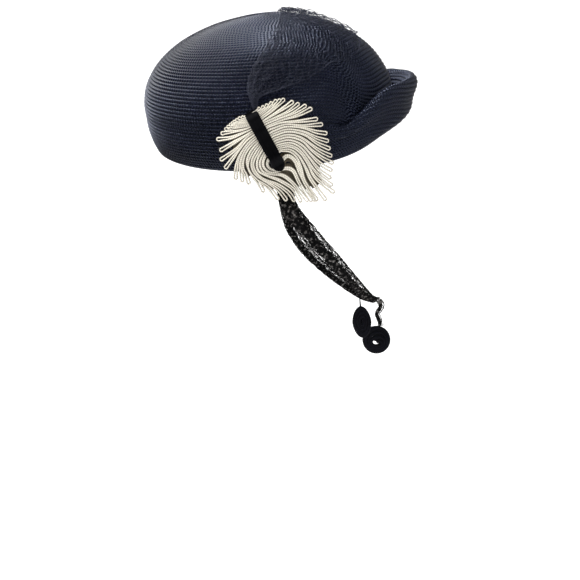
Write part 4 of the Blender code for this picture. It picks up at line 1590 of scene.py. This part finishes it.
class ChinStrap(Part[HatForm, StrapSize]):
    """The gathered net tape under the chin, and its loose end."""

    def __init__(self, looks: Looks, ground: HatForm, size: StrapSize) -> None:
        """Starts the random draws.

        Args:
            looks: the groups and materials.
            ground: the straw's form.
            size: the strap's sizes.
        """
        super().__init__(looks, ground, size)
        self.random = np.random.default_rng(7)

    def _route(self) -> Array:
        """The strap's middle line, width share and outward direction.

        Returns:
            (N, 7) points with a width share and an outward direction.
        """
        size = self.size
        inside = self.ground.size.wall + 2 * size.air + size.thickness / 2 + size.pleat
        right, left = size.ends
        near = 0.1
        edge, inner = (self.ground.sample(np.array(right), np.array(arc))[0] for arc in (1.0, 1.0 - near))
        tuck = size.tuck * near / float(np.linalg.norm(edge - inner))

        def tucked(azimuth: float, arc: float) -> tuple[float, ...]:
            """A row of the route inside the straw, where an end lies."""
            point, out = self.ground.sample(np.array(azimuth), np.array(arc))
            return (*(point - out * inside), 1.0, *out)

        rows = [tucked(right, arc) for arc in (1.0 - tuck, 1.0 - tuck / 2, size.leaves)]
        for forward, side, drop, width in STRAP_ROUTE:
            middle = np.array([forward * size.chin_forward, side * size.cheek, -drop * size.chin_drop])
            rows.append((*middle, width, *unit(middle - np.array(size.head_middle))))
        rows += [tucked(left, arc) for arc in (size.leaves, 1.0 - tuck / 2, 1.0 - tuck)]
        return smooth_curve(np.array(rows), 12)

    def _gathered(
        self, node: str, path: Array, out: Array, width: Array, thickness: float,
        material: Material, sides: int, strands: int,
    ) -> tuple[Object, Object]:
        """A crumpled band and the net's threads standing proud of it.

        Args:
            node: the CAD node that both stand for.
            path: (N, 3) middle line.
            out: (N, 3) outward directions.
            width: its width at each point.
            thickness: its thickness.
            material: the tape's.
            sides: points round the band.
            strands: how many threads.

        Returns:
            The band and the threads.
        """
        size, draw = self.size, self.random.uniform
        name = {"chin_strap": "strap_band", "tape_end": "tape_band"}[node]
        side, out = ways(path, out)
        run = run_of(path)
        turn = 2 * np.pi * np.arange(sides) / sides
        waves = [(draw(0.4, 2.6), self.random.integers(2, 9), draw(0, 6.28)) for _ in range(9)]
        crumple = np.zeros((len(path), sides))
        for pitch, around, start in waves:
            crumple += np.sin(run[:, None] * 1000 / pitch + around * turn[None] + start)
        mean, wave = size.crumple
        section = np.stack([np.cos(turn), np.sin(turn)], axis=1)[None] * (mean + wave * crumple)[..., None]
        loose = np.clip(run / run[-1] * 9.0 - 0.6, 0.0, 1.0)
        core = 1.0 - (1.0 - size.core) * loose
        section = section * np.stack([width / 2 * core, np.full_like(width, thickness / 2)], axis=1)[:, None]
        sketch = MeshSketch()
        sketch.add_tube(path + side * (width * size.core_shift * loose)[:, None], side, out, section)
        band = self.settle(sketch.build(name, material), Slot.TAPE, node)
        sketch = MeshSketch()
        thread = round_section(size.thread, 3)
        for _ in range(strands):
            place = draw(0, 2 * math.pi)
            drift = np.zeros(len(path))
            for pitch, reach in THREAD_WAVES:
                pitch *= draw(0.8, 1.25)
                drift += reach * np.sin(run * 1000 / pitch + draw(0, 6.28))
            angle = place + drift
            grow = (1.0 + size.proud * np.sin(run * 1000 / draw(0.9, 1.8) + place)) * 0.98
            line = path + side * (np.cos(angle) * grow * width / 2)[:, None]
            line = line + out * (np.sin(angle) * grow * thickness / 2)[:, None]
            sketch.add_tube(line, *ways(line, out), thread)
        return band, self.settle(sketch.build(name + "_threads", material), Slot.TAPE, node)

    def build(self) -> None:
        """Makes the strap and its loose end."""
        size = self.size
        material = self.looks.fabric(TAPE)
        route = along_curve(self._route(), size.stations)
        path, width, out = route[:, :3], route[:, 3] * size.width, unit(route[:, 4:])
        band, threads = self._gathered(
            "chin_strap", path, out, width, size.thickness, material, size.sides, size.threads)

        low, high = (np.array(corner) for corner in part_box("tape_end"))
        forward, down = np.array(TAPE_ROUTE).T
        start = path[:, 0].max() + (size.thickness / 2 + size.air)
        line = np.stack([
            start + forward * size.tape_drop, np.full(len(down), (low[1] + high[1]) / 2),
            high[2] - down * (high[2] - low[2] + size.air * 2),
        ], axis=1)
        line = along_curve(smooth_curve(line, 8), size.tape_stations)
        facing = np.broadcast_to(np.array([0.0, -1.0, 0.0]), line.shape)
        tape = np.full(len(line), size.tape_width)
        band, threads = self._gathered(
            "tape_end", line, facing, tape, size.tape_thickness, material, size.tape_sides, size.tape_threads)


@dataclass(frozen=True)
class CoilSize:
    """A wound coil's sizes in metres and its windings in number.

    Args:
        node: the CAD node that gives its box.
        lean: how far it leans, in degrees.
        hole, hole_drop, hole_flat: the hole's radius, how far it lies under the middle, and how flat it is.
        heart: the plug in the hole: its place across and up, half its width and half its height.
        leaf_thread, leaf_width, leaf_sharp: the thread it hangs by, and a leaf's width and point.
        windings, start: the turns, and where the first starts, as a share of one.
        gap: how far the outline stays from a thread.
        thick, arch: how wide the cord is, as a share of a winding's pitch, and how much the rim is thinner.
        heart_depth: the plug's depth as a share of the coil's.
        cone, cone_root: the thread's radius at its root, at its foot and at its end, and how deep its root is.
    """

    node: str
    lean: float
    hole: float
    heart: tuple[float, float, float, float]
    hole_drop: float = 0.0
    hole_flat: float = 0.0
    leaf_thread: float = 0.0
    leaf_width: float = 0.0
    leaf_sharp: float = 1.7
    windings: float = 4.0
    start: float = 0.42
    gap: float = 0.0004
    thick: float = 1.32
    arch: float = 0.22
    heart_depth: float = 0.55
    cone: tuple[float, float, float] = (0.0012, 0.0006, 0.0003)
    cone_root: float = 0.002


ROUND_COIL = CoilSize(
    "round_coil", 0.0, 0.0014, (-0.0004, -0.0002, 0.0024, 0.0015), hole_drop=0.0036, hole_flat=0.35)
LEAF_COIL = CoilSize(
    "leaf_coil", -5.0, 0.0001, (0.0, -0.0036, 0.0019, 0.0029), leaf_thread=0.0072, leaf_width=0.0134)


class Coil(Part[Material, CoilSize]):
    """A velvet-covered cord wound flat round a small hole."""

    across = np.array([1.0, 0.0, 0.0])
    depth = np.array([0.0, 1.0, 0.0])

    def _reach(self, turn: Array, half: float) -> Array:
        """The outline's radius in each direction from the top.

        Args:
            turn: angles from the top.
            half: half the outline's height.

        Returns:
            A radius for each angle.
        """
        size = self.size
        if not size.leaf_width:
            return np.full_like(turn, half)
        sharp = size.leaf_sharp
        body = np.abs(np.cos(turn) / half) ** sharp + np.abs(np.sin(turn) / (size.leaf_width / 2)) ** sharp
        return body ** (-1.0 / sharp)

    def _wind(self, sketch: MeshSketch, half: float, drop: float, deep: float) -> None:
        """The spiral of cord, from the hole out to the outline.

        Args:
            sketch: takes the cord.
            half: half the outline's height.
            drop: how far its middle lies from the box's.
            deep: half the coil's depth.
        """
        size = self.size
        turn = np.linspace(0.0, 2 * np.pi * size.windings, int(96 * size.windings))
        pitch = 1.0 / size.windings
        start, limit = pitch * size.start, 1.0 - pitch * 0.5
        level = start + np.minimum(turn / (turn[-1] - 2 * np.pi), 1.0) * (limit - start)
        outer = self._reach(turn, half)
        reach = outer * level + size.hole * (1.0 - level)
        flat = size.hole_flat * (1.0 - level) ** 3
        x = reach * np.sin(turn) * (1.0 + flat)
        z = reach * np.cos(turn) * (1.0 - flat) - (1.0 - level) * size.hole_drop + drop
        path = np.stack([x, np.zeros_like(x), z], axis=1)
        wide = ((outer - size.hole) * pitch / 2 + size.hole_drop * pitch * 0.3) * size.thick
        taper = np.minimum(1.0, np.minimum(turn * 2.0 + 0.8, (turn[-1] - turn) * 3.0 + 0.25))
        tall = deep * (1.0 - size.arch * level**3) * np.sqrt(taper)
        section = round_section(1.0, 14)[None] * np.stack([wide * taper, tall], axis=1)[:, None]
        sketch.add_tube(path, np.cross(unit(np.gradient(path, axis=0)), self.depth), self.depth, section)

    def _plug(self, sketch: MeshSketch, deep: float) -> None:
        """The cord's hidden start, which fills the hole's bottom.

        Args:
            sketch: takes the plug.
            deep: half the coil's depth.
        """
        x, z, wide, tall = self.size.heart
        rise = np.linspace(-1.0, 1.0, 9)
        path = np.stack([np.full(9, x), np.zeros(9), z + tall * rise], axis=1)
        plug = round_section(1.0, 12)[None] * np.sqrt(1.02 - rise**2)[:, None, None]
        sketch.add_tube(path, self.across, self.depth, plug * np.array([wide, deep * self.size.heart_depth]))

    def build(self) -> Object:
        """Makes the coil as one spiral of cord, and the thread that a leaf hangs by.

        Returns:
            The coil.
        """
        size = self.size
        low, high = (np.array(corner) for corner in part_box(size.node))
        lean = math.radians(size.lean)
        deep = (high[1] - low[1]) / 2
        total = (high[2] - low[2]) / math.cos(lean)
        thread = size.leaf_thread
        half = (total - thread) / 2 - (size.gap if thread else 0.0)
        top = half - thread / 2
        sketch = MeshSketch()
        self._wind(sketch, half, -thread / 2, deep)
        self._plug(sketch, deep)
        if thread:
            line = along_curve(np.array([[0.0, 0.0, z] for z in (top - size.cone_root, top, total / 2)]), 12)
            width = np.interp(np.arange(12), (0, 3, 11), size.cone)
            cone = round_section(1.0, 8)[None] * width[:, None, None]
            sketch.add_tube(line, self.across, self.depth, cone)
        x, y, z = np.concatenate(sketch.points).T
        leant = [x * math.cos(lean) + z * math.sin(lean), y, z * math.cos(lean) - x * math.sin(lean)]
        sketch.points = [np.stack(leant, axis=1) + (low + high) / 2]
        piece = sketch.build(size.node + "_windings", self.ground)
        return self.settle(piece, Slot.WOUND, size.node)


@dataclass(frozen=True)
class StudioSize:
    """The camera and the pale room, in metres.

    Args:
        focal_share: the focal length as a share of the sensor's width.
        floor, wall, side, bend: the floor's height, how far back it turns up, its size and its bend's radius.
        paper: the paper's greys.
        glow: how much the paper gives off where the camera sees it.
        world: the world's strength as a light, and as the camera sees it.
    """

    camera: Point = (0.0065, -0.390, -0.204)
    focal_share: float = 505.0 / 580.0
    sensor: float = 36.0
    floor: float = -0.432
    wall: float = 1.6
    side: float = 4.0
    bend: float = 0.8
    paper: tuple[float, float] = (0.62, 0.65)
    glow: float = 0.78
    world: tuple[float, float] = (0.17, 0.95)
    aim: Point = (0.0, -0.02, -0.08)


LIGHTS = (
    # name, place, side in metres, power in watts
    ("key", (-0.66, -0.44, 0.84), 0.50, 36.0),
    ("fill", (0.62, -0.88, 0.18), 0.7, 7.0),
    ("back", (-0.62, 0.30, 0.80), 0.8, 6.5),
)


class Studio:
    """A plain pale floor that curves up behind, soft light and the camera."""

    def __init__(self, size: StudioSize) -> None:
        """Keeps its sizes."""
        self.size = size

    def build(self) -> None:
        """Makes the floor, world, lights and camera."""
        self._floor()
        self._world()
        for name, place, side, power in LIGHTS:
            self._light(name, place, side, power)
        self._camera()

    @staticmethod
    def _add(name: str, data: ID, place: Point) -> Object:
        """An object at a place in the scene.

        Args:
            name: the object's name.
            data: what it holds.
            place: where it stands.

        Returns:
            The object, linked to the scene.
        """
        obj = bpy.data.objects.new(name, data)
        obj.location = place
        bpy.context.scene.collection.objects.link(obj)
        return obj

    def _floor(self) -> None:
        """The paper, flat in front and bent up at the back."""
        size = self.size
        turn = np.radians(np.linspace(0.0, 90.0, 13))
        y = np.concatenate([[-size.side], size.wall - size.bend + size.bend * np.sin(turn), [size.wall]])
        z = np.concatenate([[0.0], size.bend - size.bend * np.cos(turn), [size.side]]) + size.floor
        columns = [np.stack([np.full_like(y, x), y, z], axis=1)
                   for x in np.linspace(-size.side, size.side, 9)]
        sketch = MeshSketch()
        sketch.add_grid(np.stack(columns, axis=1), np.arange(len(y), dtype=float), np.arange(9, dtype=float))
        material = bpy.data.materials.new("studio_paper")
        material.use_nodes = True
        tree = NodeSketch(material.node_tree)
        noise = tree.add("ShaderNodeTexNoise", {"Scale": 40.0})
        low, high = size.paper
        grey = tree.add("ShaderNodeMapRange", {"Value": noise.outputs[0], "To Min": low, "To Max": high})
        seen = tree.add("ShaderNodeLightPath")
        tree.feed(material.node_tree.nodes["Principled BSDF"], {
            "Base Color": grey.outputs[0], "Roughness": 0.9, "Specular IOR Level": 0.1,
            "Emission Color": seen.outputs["Is Camera Ray"], "Emission Strength": size.glow})
        sketch.build("studio_floor", material)

    def _light(self, name: str, place: Point, side: float, power: float) -> None:
        """One soft square light.

        Args:
            name: the light's name.
            place: where it stands.
            side: its side in metres.
            power: its power in watts.
        """
        light = bpy.data.lights.new(name, "AREA")
        light.size = side
        light.energy = power
        obj = self._add(name, light, place)
        obj.rotation_euler = (Vector(self.size.aim) - Vector(place)).to_track_quat("-Z", "Y").to_euler()

    def _world(self) -> None:
        """White all round, dimmer as a light than as the camera sees it."""
        world = bpy.data.worlds.new("studio_world")
        world.use_nodes = True
        tree = NodeSketch(world.node_tree)
        seen = tree.add("ShaderNodeLightPath").outputs["Is Camera Ray"]
        light, shown = self.size.world
        strength = tree.add("ShaderNodeMix", {"A": light, "B": shown, "Factor": seen}).outputs["Result"]
        tree.feed(world.node_tree.nodes["Background"], {"Color": (1.0, 1.0, 1.0, 1.0), "Strength": strength})
        bpy.context.scene.world = world
        bpy.context.scene.view_settings.view_transform = "Standard"

    def _camera(self) -> None:
        """A level camera that looks at the wearer's right side."""
        size = self.size
        data = bpy.data.cameras.new("camera")
        data.sensor_width = size.sensor
        data.lens = size.sensor * size.focal_share
        data.clip_start = 0.01
        camera = self._add("camera", data, size.camera)
        camera.rotation_euler = (math.pi / 2, 0.0, 0.0)
        bpy.context.scene.camera = camera


class TiltHat:
    """The whole hat, built piece by piece over the frame."""

    def __init__(self, frame: dict) -> None:
        """Works out the straw's form and the shared groups.
        """
        self.frame = frame
        self.looks = Looks()
        self.form = HatForm(HatSize())

    def build(self) -> None:
        """Makes every piece."""
        StrawCrown(self.looks, self.form, StrawSize()).build()
        rosette = Rosette(self.form, CockadeSize())
        veil = Veil(self.looks, self.form, VeilSize()).build()
        Cockade(self.looks, rosette, rosette.size).build()
        nodes = self.frame["nodes"]
        Ribbon(self.looks, rosette, RibbonSize(), [nodes["cockade"], nodes["straw_crown"]]).build()
        ChinStrap(self.looks, self.form, StrapSize()).build()
        wound = self.looks.fabric(WOUND)
        for coil in (ROUND_COIL, LEAF_COIL):
            Coil(self.looks, wound, coil).build()
        LOG.info("all pieces built")


def main() -> None:
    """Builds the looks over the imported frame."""
    logging.basicConfig(level=logging.INFO)
    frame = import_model()
    Studio(StudioSize()).build()
    TiltHat(frame).build()


if __name__ == "__main__":
    main()
